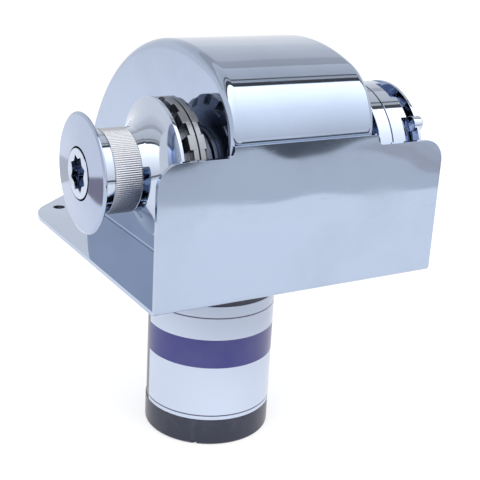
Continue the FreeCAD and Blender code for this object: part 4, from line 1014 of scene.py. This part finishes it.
class Copies:
    """A geometry node tree that puts a template at each point of a mesh, built at its first use."""

    def __init__(self) -> None:
        """Start with the tree not yet built."""
        self.built: bpy.types.NodeTree | None = None

    def tree(self) -> bpy.types.NodeTree:
        """The tree, with named inputs for the points, the template and the material.

        Returns:
            The tree.
        """
        if self.built is None:
            self.built = bpy.data.node_groups.new("copies_at_points", "GeometryNodeTree")
            for label, way, kind in (("Geometry", "INPUT", "Geometry"), ("Template", "INPUT", "Object"),
                                     ("Material", "INPUT", "Material"),
                                     ("Geometry", "OUTPUT", "Geometry")):
                self.built.interface.new_socket(label, in_out=way, socket_type="NodeSocket" + kind)
            board = Board(self.built)
            given = board.add("NodeGroupInput").outputs
            template = board.add("ObjectInfo", {"Object": given["Template"]},
                                 transform_space="ORIGINAL").outputs["Geometry"]
            placed = board.add("InstanceOnPoints", {"Points": given["Geometry"],
                                                    "Instance": template}).outputs[0]
            real = board.add("RealizeInstances", {0: placed}).outputs[0]
            painted = board.add("SetMaterial", {0: real, "Material": given["Material"]}).outputs[0]
            board.add("NodeGroupOutput", {0: painted})
        return self.built

    def at(self, name: str, template: bmesh.types.BMesh, points: list[tuple[float, float, float]],
           finish: Finish, body: Body, nodes: tuple[str, ...] = (),
           limit: float = 50.0) -> bpy.types.Object:
        """Place copies of a template at points given in millimetres.

        Args:
            name: name of the piece.
            template: the form of one copy, which is used up.
            points: where the copies go.
            finish: finish of the copies.
            body: the body that they ride on.
            nodes: the frame's nodes that they stand for.
            limit: angle in degrees past which an edge stays sharp.

        Returns:
            The piece, a plain mesh with no modifier left on it.
        """
        mesh = bpy.data.meshes.new(name + "_template")
        template.to_mesh(mesh)
        template.free()
        model = linked(mesh.name, mesh)
        mesh.shade_smooth()
        mesh.set_sharp_from_angle(angle=math.radians(limit))
        base = bpy.data.meshes.new(name)
        base.from_pydata([tuple(part * MM for part in point) for point in points], [], [])
        piece = linked(name, base)
        modifier = piece.modifiers.new(name, "NODES")
        modifier.node_group = self.tree()
        values = {"Template": model, "Material": finish.material()}
        for item in modifier.node_group.interface.items_tree:
            if item.item_type == "SOCKET" and item.in_out == "INPUT" and item.name in values:
                modifier[item.identifier] = values[item.name]
        baked(piece)
        bpy.data.objects.remove(model)
        return ridden(piece, body, nodes)


COPIES = Copies()


# Sub-assemblies

@dataclass
class DeckPlate:
    """The deck plate with its upturned guard."""

    edge: float = 0.7
    edge_angle: float = 40.0

    def build(self) -> None:
        """Make the plate."""
        refined("deck_plate_and_guard", "base_plate", SHEET, Body.HOUSING,
                Edges(self.edge, self.edge_angle, 4))


@dataclass
class Cover:
    """The polished cover with its rounded rim, shaft holes and foot lip."""

    left: float = -58.0
    right: float = 52.5
    front: float = -127.7
    floor: float = 3.0
    arc_y: float = -44.2
    arc_z: float = -2.3
    arc_radius: float = 159.4
    nose_radius: float = 46.0
    rim: float = 7.0
    sheet: float = 2.0
    lip: float = 4.0
    lip_gap: float = 0.5
    lip_end: float = 1.0
    hole_radius: float = 22.3
    back_parts: int = 96
    nose_parts: int = 40
    front_parts: int = 12
    rim_parts: int = 10
    width_parts: int = 12
    foot_parts: int = 40

    def side(self, inset: float) -> list[tuple[float, float]]:
        """The side outline from the rear foot over the top to the front foot.

        Args:
            inset: distance that the outline is moved inwards.

        Returns:
            The points as pairs of Y and Z.
        """
        radius, nose = self.arc_radius - inset, self.nose_radius - inset
        across = self.front + self.nose_radius - self.arc_y
        up = math.sqrt((self.arc_radius - self.nose_radius) ** 2 - across ** 2)
        nose_y, nose_z = self.arc_y + across, self.arc_z + up
        meet = math.atan2(up, across)
        start = math.asin((self.floor - self.arc_z) / radius)
        points = []
        for index in range(self.back_parts + 1):
            angle = start + (meet - start) * index / self.back_parts
            points.append((self.arc_y + radius * math.cos(angle), self.arc_z + radius * math.sin(angle)))
        for index in range(1, self.nose_parts + 1):
            angle = meet + (math.pi - meet) * index / self.nose_parts
            points.append((nose_y + nose * math.cos(angle), nose_z + nose * math.sin(angle)))
        for index in range(1, self.front_parts + 1):
            share = index / self.front_parts
            points.append((self.front + inset, nose_z + (self.floor - nose_z) * share))
        return points

    def skin(self) -> bmesh.types.BMesh:
        """The outside of the cover as one skin, open at the foot and at the two holes.

        Returns:
            The skin.
        """
        shape = bmesh.new()
        columns = []
        for index in range(self.rim_parts + 1):
            angle = math.pi / 2 * index / self.rim_parts
            inset = self.rim * (1 - math.sin(angle))
            columns.append((self.left + self.rim * (1 - math.cos(angle)), inset))
        width = self.right - self.left - self.rim * 2
        middle = [(self.left + self.rim + width * i / self.width_parts, 0.0)
                  for i in range(1, self.width_parts)]
        mirrored = [(self.left + self.right - x, inset) for x, inset in reversed(columns)]
        rows = []
        for x, inset in columns + middle + mirrored:
            rows.append([shape.verts.new((x * MM, y * MM, z * MM)) for y, z in self.side(inset)])
        for first, second in zip(rows, rows[1:]):
            for index in range(len(first) - 1):
                shape.faces.new((first[index], first[index + 1], second[index + 1], second[index]))
        for row, x in ((rows[0], self.left), (rows[-1], self.right)):
            self.wall(shape, row, x)
        bmesh.ops.recalc_face_normals(shape, faces=shape.faces)
        return shape

    def wall(self, shape: bmesh.types.BMesh, border: list[bmesh.types.BMVert], x: float) -> None:
        """One side wall between its border and the shaft hole.

        Args:
            shape: the cover's shape.
            border: the wall's border on the rim.
            x: place of the wall.
        """
        first, last = border[-1].co, border[0].co
        foot = [shape.verts.new(first.lerp(last, index / self.foot_parts))
                for index in range(1, self.foot_parts)]
        outline = border + foot
        centre = Vector((x, SHAFT_Y, SHAFT_Z)) * MM
        inner = []
        for vert in outline:
            way = (vert.co - centre).normalized()
            inner.append(shape.verts.new(centre + way * self.hole_radius * MM))
        join_rings(shape, outline, inner)

    def build(self) -> None:
        """Make the cover and its lip."""
        finished("cover_shell", self.skin(), STAINLESS, Body.HOUSING, ("housing_cover",),
                 Edges(0.0, 50.0), self.sheet)
        rear = self.arc_y + self.arc_radius
        out, gap, end = self.lip, self.lip_gap, rear - self.lip_end
        corners = [(self.left - out, self.front), (self.left + gap, self.front),
                   (self.left + gap, end), (self.right - gap, end),
                   (self.right - gap, self.front), (self.right + out, self.front),
                   (self.right + out, rear + out), (self.left - out, rear + out)]
        shape = slab(corners, self.floor, self.floor + self.sheet)
        finished("cover_lip", shape, STAINLESS, Body.HOUSING, (), Edges(0.5, 40.0, 3))


@dataclass
class Drum:
    """The warping drum with its trumpet flange, grip band and end disc."""

    radius: float = 27.0
    left: float = -131.0
    neck: float = -102.0
    right: float = -86.0
    flange_radius: float = 45.7
    rim: float = 2.5
    trumpet: float = 25.6
    band_left: float = -124.7
    band_right: float = -106.7
    ribs: int = 120
    rib_radius: float = 0.95
    rib_height: float = 0.35
    rib_gap: float = 0.3
    band_depth: float = 0.35
    recess: float = 17.2
    recess_floor: float = -121.0
    bore: float = 10.02
    cone_throat: float = -77.0
    cone_mouth: float = -83.0
    throat_radius: float = 17.55
    mouth_radius: float = 23.55
    disc_face: float = -138.5
    slope_end: float = -137.0
    slope_radius: float = 36.9
    disc_edge: float = -136.1
    disc_back: float = -135.2
    disc_radius: float = 38.7

    def barrel(self) -> list[Stop]:
        """The outline of the drum.

        Returns:
            The stops of the outline.
        """
        foot, top = (self.neck, self.radius), (self.right - self.rim, self.flange_radius)
        groove = self.band_depth
        return [(self.cone_throat, self.bore), (self.cone_throat, self.throat_radius),
                (self.cone_mouth, self.mouth_radius, 0.3), (self.right, self.mouth_radius),
                (self.right, self.flange_radius, 0.8), (*top, 0.9),
                *arc(top, foot, self.trumpet, True, 16), foot,
                (self.band_right + groove, self.radius), (self.band_right, self.radius - groove),
                (self.band_left, self.radius - groove), (self.band_left - groove, self.radius),
                (self.left, self.radius), (self.left, self.recess),
                (self.recess_floor, self.recess), (self.recess_floor, self.bore)]

    def disc(self) -> list[Stop]:
        """The outline of the end disc, a shallow cone with a narrow rounded edge.

        Returns:
            The stops of the outline.
        """
        return [(self.left, self.recess), (self.disc_face, self.recess, 0.5),
                (self.slope_end, self.slope_radius, 0.8), (self.disc_edge, self.disc_radius, 0.6),
                (self.disc_back, self.disc_radius, 0.5), (self.left, self.radius)]

    def grip_band(self) -> None:
        """Straight round ribs along the drum, side by side round it."""
        low, high = self.band_left + self.rib_gap, self.band_right - self.rib_gap
        rib = turned([(low, 0.0), (low, self.rib_radius), (high, self.rib_radius), (high, 0.0)],
                     Line.ORIGIN, 14)
        bmesh.ops.rotate(rib, verts=rib.verts, matrix=Matrix.Rotation(math.pi / 2, 3, "Y"))
        reach = self.radius + self.rib_height - self.rib_radius
        turns = [2 * math.pi * index / self.ribs for index in range(self.ribs)]
        points = [(0.0, SHAFT_Y + reach * math.cos(turn), SHAFT_Z + reach * math.sin(turn))
                  for turn in turns]
        COPIES.at("drum_grip_band", rib, points, BAND_STEEL, Body.DRUM)

    def build(self) -> None:
        """Make the drum, its grip band and its end disc."""
        finished("drum_barrel", turned(self.barrel(), Line.SHAFT, 192), LATHE_POLISH_PAINTED_LIGHT, Body.DRUM,
                 ("warping_drum",), Edges(0.0, 40.0))
        self.grip_band()
        finished("drum_end_disc_polished", turned(self.disc(), Line.SHAFT, 192), DISC_STEEL,
                 Body.DRUM, ("drum_end_disc",), Edges(0.0, 40.0))


@dataclass
class ClutchScrew:
    """The clutch screw with the star socket for the handle."""

    face: float = -139.0
    radius: float = 16.1
    flats: float = 17.5
    depth: float = 14.0
    turn: float = 22.5
    head_end: float = -123.0
    shank_end: float = -94.0
    shank_radius: float = 6.0

    def build(self) -> None:
        """Make the screw."""
        socket = star(self.flats, 8, math.radians(self.turn))
        floor = self.face + self.depth
        stops = [(floor, 0.0), (floor, socket), (self.face, socket),
                 (self.face, self.radius, 0.9), (self.head_end, self.radius),
                 (self.head_end, self.shank_radius), (self.shank_end, self.shank_radius, 0.6),
                 (self.shank_end, 0.0)]
        finished("clutch_screw_polished", turned(stops, Line.SHAFT, 192), LATHE_POLISH_PAINTED_LIGHT, Body.SCREW,
                 ("clutch_screw",), Edges(0.35, 30.0, 2))


@dataclass
class Rim:
    """The outlines of one half of a gypsy, on a land and in a pocket."""

    land: list[Stop]
    cut: list[Stop]


@dataclass(frozen=True)
class Seats:
    """The bore and the cone seats of a gypsy."""

    bore: float = 10.05
    throat: float = 17.0
    mouth: float = 24.0
    depth: float = 7.0

    def points(self, face: float, way: float) -> list[Stop]:
        """The seat at one face from its mouth to the bore, with way 1 for a face on the right."""
        floor = face - self.depth * way
        return [(face, self.mouth), (floor, self.throat), (floor, self.bore)]


@dataclass
class LeftGypsy:
    """The left gypsy: two halves with a seam between them and notches along both rims."""

    radius: float = 45.0
    outer_face: float = -83.0
    inner_face: float = -65.0
    seam: float = -75.0
    outer_rim: float = -81.0
    inner_rim: float = -69.0
    shoulder: float = 32.0
    notches: int = 15
    notch_width: float = 9.0
    notch_reach: float = 2.0
    notch_turn: float = 3.0
    floor: float = 38.0
    seam_half: float = 0.5
    seam_depth: float = 3.0
    edge: float = 0.6
    split_gap: float = 0.02
    seats: Seats = Seats()

    def half(self, face: float, rim: float, seam: float) -> Rim:
        """The outlines of one half.

        Args:
            face: place of its face.
            rim: place of its rim's edge.
            seam: place where it meets the other half.

        Returns:
            The outlines.
        """
        way = 1.0 if face > seam else -1.0
        share = (self.floor - self.shoulder) / (self.radius - self.shoulder)
        foot = (face + (rim - face) * share, self.floor)
        bottom, side = self.radius - self.seam_depth, seam + self.seam_half * way
        start = [(seam, self.seats.bore), (seam, bottom), (side, bottom), (side, self.radius)]
        rest = [foot, (face, self.shoulder)] + self.seats.points(face, way)
        land = [(rim - self.edge * way, self.radius), (rim, self.radius - self.edge)]
        notch = rim - self.notch_reach * way
        return Rim(start + land + rest, start + [(notch, self.radius), (notch, self.floor)] + rest)

    def build(self) -> None:
        """Make the two halves."""
        width = 2 * math.asin(self.notch_width / 2 / self.radius)
        phase = math.pi / 2 - math.radians(self.notch_turn)
        for name, face, rim, seam in (("outer", self.outer_face, self.outer_rim, self.seam),
                                      ("inner", self.inner_face, self.inner_rim,
                                       self.seam + self.split_gap)):
            outlines = self.half(face, rim, seam)
            shape = milled(outlines.land, outlines.cut, self.notches, width, phase, Line.SHAFT)
            node = f"gypsy_left_{name}"
            finished(f"{node}_milled", shape, RIM_STEEL_PAINTED_SHADE, Body.LEFT_GYPSY, (node,),
                     Edges(0.35, 32.0, 3))


@dataclass
class RightGypsy:
    """The right gypsy: a broad rim with a seam and pockets, a V groove and a flange with lugs."""

    radius: float = 48.0
    inner_face: float = 62.0
    outer_face: float = 98.0
    seam: float = 73.0
    groove: float = 92.5
    half_top: float = 3.3
    half_bottom: float = 2.0
    floor: float = 33.0
    pocket_floor: float = 38.0
    pocket_edge: float = 84.0
    pockets: int = 8
    pocket_width: float = 20.0
    pocket_turn: float = 26.5
    lug_radius: float = 5.5
    lug_place: float = 44.0
    lug_start: float = 93.6
    lug_end: float = 101.8
    lug_turn: float = 56.0
    lug_round: float = 2.2
    lugs_around: int = 4
    seam_half: float = 0.5
    seam_depth: float = 3.0
    edge: float = 0.6
    flange_edge: float = 0.7
    lip_edge: float = 0.4
    split_gap: float = 0.02
    split_radius: float = 18.5
    seats: Seats = Seats()

    def broad_rim(self) -> Rim:
        """The outlines of the inner half.

        Returns:
            The outlines on a land and in a pocket.
        """
        share = (self.pocket_floor - self.floor) / (self.radius - self.floor)
        lip = self.half_bottom + (self.half_top - self.half_bottom) * share
        left = self.groove - self.half_top
        start = [(self.groove, self.split_radius), (self.groove, self.floor),
                 (self.groove - self.half_bottom, self.floor), (self.groove - lip, self.pocket_floor)]
        right, near = self.seam + self.seam_half, self.seam - self.seam_half
        bottom = self.radius - self.seam_depth
        outer = self.seats.points(self.outer_face, 1.0)
        rest = [(right, self.radius), (right, bottom), (near, bottom), (near, self.radius),
                (self.inner_face + self.edge, self.radius), (self.inner_face, self.radius - self.edge)]
        rest += self.seats.points(self.inner_face, -1.0) + [outer[2], outer[1]]
        land = [(left, self.radius - self.lip_edge), (left - self.lip_edge, self.radius)]
        cut = [(self.pocket_edge, self.pocket_floor), (self.pocket_edge, self.radius)]
        return Rim(start + land + rest, start + cut + rest)

    def flange(self) -> list[Stop]:
        """The outline of the outer half.

        Returns:
            The stops of the outline.
        """
        split = self.groove + self.split_gap
        return [(split, self.split_radius + self.split_gap), (self.outer_face, self.seats.mouth),
                (self.outer_face, self.radius, self.flange_edge),
                (self.groove + self.half_top, self.radius, self.lip_edge),
                (self.groove + self.half_bottom, self.floor), (split, self.floor)]

    def lugs(self) -> None:
        """Round lugs along the shaft on the flange."""
        length = self.lug_end - self.lug_start
        lug = turned([(0.0, 0.0), (0.0, self.lug_radius, 0.5),
                      (length, self.lug_radius, self.lug_round), (length, 0.0)], Line.ORIGIN, 48)
        bmesh.ops.rotate(lug, verts=lug.verts, matrix=Matrix.Rotation(math.pi / 2, 3, "Y"))
        points = []
        for index in range(self.lugs_around):
            angle = math.radians(self.lug_turn) + 2 * math.pi * index / self.lugs_around
            points.append((self.lug_start, SHAFT_Y - self.lug_place * math.sin(angle),
                           SHAFT_Z + self.lug_place * math.cos(angle)))
        COPIES.at("gypsy_right_lugs", lug, points, LATHE_POLISH_PAINTED_LIGHT, Body.RIGHT_GYPSY)

    def build(self) -> None:
        """Make the two halves and the lugs."""
        width = 2 * math.asin(self.pocket_width / 2 / self.radius)
        phase = math.pi / 2 - math.radians(self.pocket_turn)
        outlines = self.broad_rim()
        shape = milled(outlines.land, outlines.cut, self.pockets, width, phase, Line.SHAFT)
        finished("gypsy_right_inner_milled", shape, LATHE_POLISH_PAINTED_LIGHT, Body.RIGHT_GYPSY,
                 ("gypsy_right_inner",), Edges(0.35, 32.0, 3))
        finished("gypsy_right_outer_turned", turned(self.flange(), Line.SHAFT, 192), LATHE_POLISH_PAINTED_LIGHT,
                 Body.RIGHT_GYPSY, ("gypsy_right_outer",), Edges(0.0, 40.0))
        self.lugs()


@dataclass
class ClutchNut:
    """The domed clutch nut with its bar sockets."""

    edge: float = 0.5
    edge_angle: float = 35.0

    def build(self) -> None:
        """Make the nut."""
        refined("clutch_nut_polished", "clutch_nut", LATHE_POLISH_PAINTED_LIGHT, Body.NUT,
                Edges(self.edge, self.edge_angle, 3))


@dataclass
class Motor:
    """The motor below the deck: flange, case, film sleeve, end cap, screws and terminals."""

    radius: float = 47.7
    case_radius: float = 47.2
    top: float = -27.5
    label_low: float = -118.5
    flange_radius: float = 46.0
    neck_radius: float = 33.0
    flange_height: float = 8.0
    flange_wall: float = 4.0
    bore: float = 14.0
    inside: float = 43.1
    neck_inside: float = 24.0
    neck_floor: float = 3.0
    tube_inside: float = 43.2
    screw_circle: float = 39.5
    screw_flats: float = 5.0
    head_depth: float = 6.0
    head_radius: float = 4.8
    socket_depth: float = 2.0
    shank_radius: float = 3.0
    shank_length: float = 20.0
    seam_start: float = 172.0
    seam_end: float = 497.0
    film_gap: float = 0.02
    film_inset: float = 0.2

    def flange(self) -> list[Stop]:
        """The outline of the flange with its neck and shoulder.

        Returns:
            The stops of the outline.
        """
        wall = self.flange_wall
        return [(self.top - wall, self.bore), (self.top - wall, self.inside), (self.top, self.inside),
                (self.top, self.case_radius, 0.4), (self.top + wall, self.case_radius, 1.5),
                (self.top + wall, self.neck_radius, 2.0), (-self.flange_height, self.neck_radius, 2.0),
                (-self.flange_height, self.flange_radius, 0.8), (0.0, self.flange_radius, 0.4),
                (0.0, self.neck_inside), (self.neck_floor, self.neck_inside),
                (self.neck_floor, self.bore)]

    def build(self) -> None:
        """Make the motor's pieces."""
        finished("motor_flange_painted", turned(self.flange(), Line.MOTOR), PAINT, Body.HOUSING,
                 ("motor_flange",), Edges(0.0, 40.0))
        tube: list[Stop] = [(self.label_low, self.tube_inside), (self.label_low, self.case_radius),
                            (self.top, self.case_radius), (self.top, self.tube_inside)]
        finished("motor_case_painted", turned(tube, Line.MOTOR, 192), PAINT, Body.HOUSING,
                 ("motor_case",), Edges(0.0, 40.0))
        film = sleeve(self.case_radius + self.film_gap, self.radius, self.label_low + self.film_inset,
                      self.top - self.film_inset, self.seam_start, self.seam_end, Line.MOTOR)
        finished("motor_film_sleeve", film, FILM, Body.HOUSING, ("motor_label",), Edges(0.12, 40.0, 2))
        refined("motor_end_cap_painted", "motor_end_cap", PAINT, Body.HOUSING, Edges(0.5, 40.0, 3))
        self.screws()
        self.terminals()

    def screws(self) -> None:
        """Four socket-headed screws under the flange."""
        socket = star(self.screw_flats, 6, 0.0)
        floor = self.socket_depth - self.head_depth
        head: list[Stop] = [(floor, 0.0), (floor, socket), (-self.head_depth, socket),
                            (-self.head_depth, self.head_radius, 0.5), (0.0, self.head_radius),
                            (0.0, self.shank_radius), (self.shank_length, self.shank_radius),
                            (self.shank_length, 0.0)]
        step = self.screw_circle * math.sqrt(0.5)
        points = [(MOTOR_X + x * step, MOTOR_Y + y * step, -self.flange_height)
                  for x in (-1, 1) for y in (-1, 1)]
        COPIES.at("motor_flange_screw_set", turned(head, Line.ORIGIN, 48), points, STEEL,
                  Body.HOUSING, ("motor_flange_screws",), 32.0)

    def terminals(self) -> None:
        """Studs, bushes and nuts at the back of the end cap."""
        for name, node, finish, edge in (
                ("terminal_studs_brass", "motor_terminal_studs", BRONZE, 0.4),
                ("terminal_bushes_moulded", "motor_terminal_bushes", PHENOLIC, 0.3),
                ("terminal_nuts_steel", "motor_terminal_nuts", STEEL, 0.4)):
            refined(name, node, finish, Body.HOUSING, Edges(edge, 40.0, 2))


# Studio

@dataclass
class Studio:
    """A pale floor, a white backdrop, soft lights and the camera."""

    floor_height: float = -0.1396
    camera_place: tuple[float, float, float] = (-0.3674, -0.6533, 0.2547)
    yaw: float = 31.21
    pitch: float = 19.04
    roll: float = 3.28
    focal: float = 1017.3
    sensor: float = 36.0
    frame_pixels: float = 480.0
    view_end: float = 100.0
    backdrop_light: float = 0.95
    floor_half: float = 12.0
    floor_color: Color = (0.42, 0.42, 0.43)
    floor_glow: float = 0.62
    card_lift: float = 0.002
    lamp_aim: tuple[float, float, float] = (0.0, -0.02, 0.03)
    arc_y: float = -0.05
    arc_z: float = 0.08
    arc_radius: float = 1.4
    arc_half_width: float = 2.4
    arc_step: float = 4.0

    def camera(self) -> None:
        """The camera at the photograph's viewing angle, for a frame of 480 by 480."""
        data = bpy.data.cameras.new("camera")
        data.sensor_width = self.sensor
        data.lens = self.focal * self.sensor / self.frame_pixels
        data.clip_end = self.view_end
        camera = bpy.data.objects.new("camera", data)
        bpy.context.scene.collection.objects.link(camera)
        yaw, pitch, roll = (math.radians(v) for v in (self.yaw, self.pitch, self.roll))
        forward = Vector((math.sin(yaw) * math.cos(pitch), math.cos(yaw) * math.cos(pitch),
                          -math.sin(pitch)))
        level = Vector((math.cos(yaw), -math.sin(yaw), 0.0))
        upright = level.cross(forward)
        right = level * math.cos(roll) + upright * math.sin(roll)
        up = upright * math.cos(roll) - level * math.sin(roll)
        turn = Matrix((right, up, -forward)).transposed().to_4x4()
        camera.matrix_world = Matrix.Translation(self.camera_place) @ turn
        bpy.context.scene.camera = camera

    def seen(self, board: Board) -> bpy.types.NodeSocket:
        """Which rays see the backdrop: one for the camera's, a mirror's and glass's, else none.

        Args:
            board: the board of the floor's or the backdrop's material.

        Returns:
            The socket with the answer.
        """
        path = board.add("LightPath")
        both = board.math("MAXIMUM", path.outputs["Is Camera Ray"], path.outputs["Is Glossy Ray"])
        return board.math("MAXIMUM", both, path.outputs["Is Transmission Ray"])

    def world(self) -> None:
        """A white backdrop that lights the object softly."""
        world = bpy.data.worlds.new("backdrop")
        bpy.context.scene.world = world
        world.use_nodes = True
        world.node_tree.nodes.clear()
        board = Board(world.node_tree)
        strength = board.spread(self.seen(board), 0.0, 1.0, self.backdrop_light, 1.0)
        light = board.add("Background", {"Color": (1.0, 1.0, 1.0, 1.0), "Strength": strength})
        board.add("OutputWorld", {0: light.outputs[0]})

    def floor(self) -> None:
        """A pale floor that keeps the object's shadow."""
        mesh = bpy.data.meshes.new("floor")
        size = self.floor_half
        mesh.from_pydata([(-size, -size, 0), (size, -size, 0), (size, size, 0), (-size, size, 0)],
                         [], [(0, 1, 2, 3)])
        mesh.transform(Matrix.Translation((0, 0, self.floor_height)))
        floor = linked("floor", mesh)
        made = blank_material("pale_floor")
        board = Board(made.node_tree)
        matt = board.add("BsdfDiffuse", {"Color": (*self.floor_color, 1.0)})
        level = board.math("MULTIPLY", self.seen(board), self.floor_glow)
        glow = board.add("Emission", {"Color": (1.0, 1.0, 1.0, 1.0), "Strength": level})
        both = board.add("AddShader", {0: matt.outputs[0], 1: glow.outputs[0]})
        board.add("OutputMaterial", {0: both.outputs[0]})
        mesh.materials.append(made)

    def lamp(self, name: str, place: tuple[float, float, float], size: tuple[float, float],
             power: float) -> None:
        """One soft box that looks at the object.

        Args:
            name: name of the lamp.
            place: where it stands.
            size: its width and height.
            power: its power.
        """
        data = bpy.data.lights.new(name, "AREA")
        data.shape = "RECTANGLE"
        data.size, data.size_y = size
        data.energy = power
        lamp = bpy.data.objects.new(name, data)
        bpy.context.scene.collection.objects.link(lamp)
        lamp.visible_glossy = False
        aim = (Vector(self.lamp_aim) - Vector(place)).to_track_quat("-Z", "Y")
        lamp.matrix_world = Matrix.Translation(place) @ aim.to_matrix().to_4x4()

    def mirrored(self, piece: bpy.types.Object, shade: Color, start: float, end: float,
                 levels: tuple[float, float]) -> None:
        """Dress a card so that only mirrors see it, with its level changing along its arc.

        Args:
            piece: the card.
            shade: its colour.
            start: angle of its first edge, up from the horizon in front.
            end: angle of its last edge.
            levels: strength at the first and at the last edge.
        """
        made = blank_material(piece.name)
        board = Board(made.node_tree)
        parts = board.parts(board.place())
        ahead = board.math("SUBTRACT", self.arc_y, parts[1])
        above = board.math("SUBTRACT", parts[2], self.arc_z)
        angle = board.math("ARCTAN2", above, ahead)
        level = board.spread(angle, math.radians(start), math.radians(end), *levels)
        glow = board.add("Emission", {"Color": (*shade, 1.0), "Strength": level})
        board.add("OutputMaterial", {0: glow.outputs[0]})
        piece.data.materials.append(made)
        piece.visible_camera = False
        piece.visible_diffuse = False
        piece.visible_shadow = False

    def arch(self, name: str, start: float, end: float, levels: tuple[float, float]) -> None:
        """A long card bent round the object, from one angle above the front horizon to another.

        Args:
            name: name of the card.
            start: angle of its first edge.
            end: angle of its last edge.
            levels: strength at its two edges.
        """
        steps = max(2, int((end - start) / self.arc_step))
        corners = []
        for index in range(steps + 1):
            angle = math.radians(start + (end - start) * index / steps)
            y = self.arc_y - self.arc_radius * math.cos(angle)
            z = self.arc_z + self.arc_radius * math.sin(angle)
            corners += [(-self.arc_half_width, y, z), (self.arc_half_width, y, z)]
        faces = [(first, first + 1, first + 3, first + 2) for first in range(0, steps * 2, 2)]
        mesh = bpy.data.meshes.new(name)
        mesh.from_pydata(corners, [], faces)
        self.mirrored(linked(name, mesh), (1.0, 1.0, 1.0), start, end, levels)

    def floor_card(self, name: str, corners: list[tuple[float, float]], level: float,
                   shade: Color = (1.0, 1.0, 1.0)) -> None:
        """A glowing card on the floor that only mirrors see, a painted reflection in the polished parts.
            corners: its corners in plan.
            level: its strength.
            shade: its colour.
        """
        mesh = bpy.data.meshes.new(name)
        height = self.floor_height + self.card_lift
        mesh.from_pydata([(x, y, height) for x, y in corners], [], [tuple(range(len(corners)))])
        self.mirrored(linked(name, mesh), shade, -90.0, 90.0, (level, level))

    def build(self) -> None:
        """Set up the studio."""
        bpy.context.scene.view_settings.view_transform = "Standard"
        self.camera()
        self.world()
        self.floor()
        self.lamp("key_box", (0.4, -1.0, 1.3), (1.2, 0.8), 15.0)
        self.lamp("fill_box", (-1.3, -0.5, 0.9), (0.8, 0.8), 8.0)
        self.lamp("rear_box", (-0.4, 1.5, 1.0), (1.0, 0.6), 6.0)
        for name, start, end, levels in (("front_tent", -4.0, 37.0, (1.0, 1.6)),
                                         ("front_soft_box", 37.0, 79.0, (1.6, 2.6)),
                                         ("top_flag", 80.0, 87.0, (0.08, 0.12)),
                                         ("top_gap", 87.0, 92.0, (0.75, 0.6)),
                                         ("top_line", 92.0, 94.5, (0.12, 0.2)),
                                         ("top_tent", 94.5, 122.0, (0.75, 0.9)),
                                         ("rear_flag", 122.0, 133.0, (0.62, 0.66)),
                                         ("rear_tent", 133.0, 153.0, (0.8, 0.95))):
            self.arch(name, start, end, levels)
        # Painted reflections: these floor cards glow only for mirror rays and stand in for a table's
        # edge, a glint, a warm patch and darker patches in the polished parts.
        self.floor_card("table_edge", [(-2.4, -0.99), (2.4, -0.96), (2.4, -1.5), (-2.4, -1.5)], 0.16,
                        (0.8, 0.9, 1.0))
        self.floor_card("far_table", [(-2.4, -0.72), (2.4, -0.66), (2.4, -0.96), (-2.4, -0.99)], 0.92,
                        (0.95, 0.97, 1.0))
        self.floor_card("table_glint", [(-2.4, -0.64), (2.4, -0.58), (2.4, -0.66), (-2.4, -0.72)], 1.3)
        self.floor_card("warm_patch", [(0.62, -0.78), (0.82, -0.78), (0.82, -0.925), (0.62, -0.925)],
                        0.3, (1.0, 0.62, 0.6))
        self.floor_card("disc_wedge", [(-0.62, 0.60), (-0.50, 0.60), (-0.44, 0.555), (-0.44, 0.42),
                                       (-0.62, 0.42)], 0.42, (0.95, 0.85, 1.0))
        self.floor_card("disc_shade", [(-0.40, 0.60), (-0.24, 0.60), (-0.24, 0.80), (-0.40, 0.80)], 0.8)


@dataclass
class Windlass:
    """The whole object."""

    def build(self) -> None:
        """Make every sub-assembly in order."""
        dress_frame_nodes()
        parts = [DeckPlate(), Cover(), Drum(), ClutchScrew(),
                 LeftGypsy(), RightGypsy(), ClutchNut(), Motor()]
        for part in parts:
            log.info("building %s", type(part).__name__)
            part.build()


def main() -> None:
    """Build the windlass and its studio."""
    logging.basicConfig(level=logging.INFO, format="%(message)s")
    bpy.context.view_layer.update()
    Windlass().build()
    Studio().build()


if __name__ == "__main__":
    main()
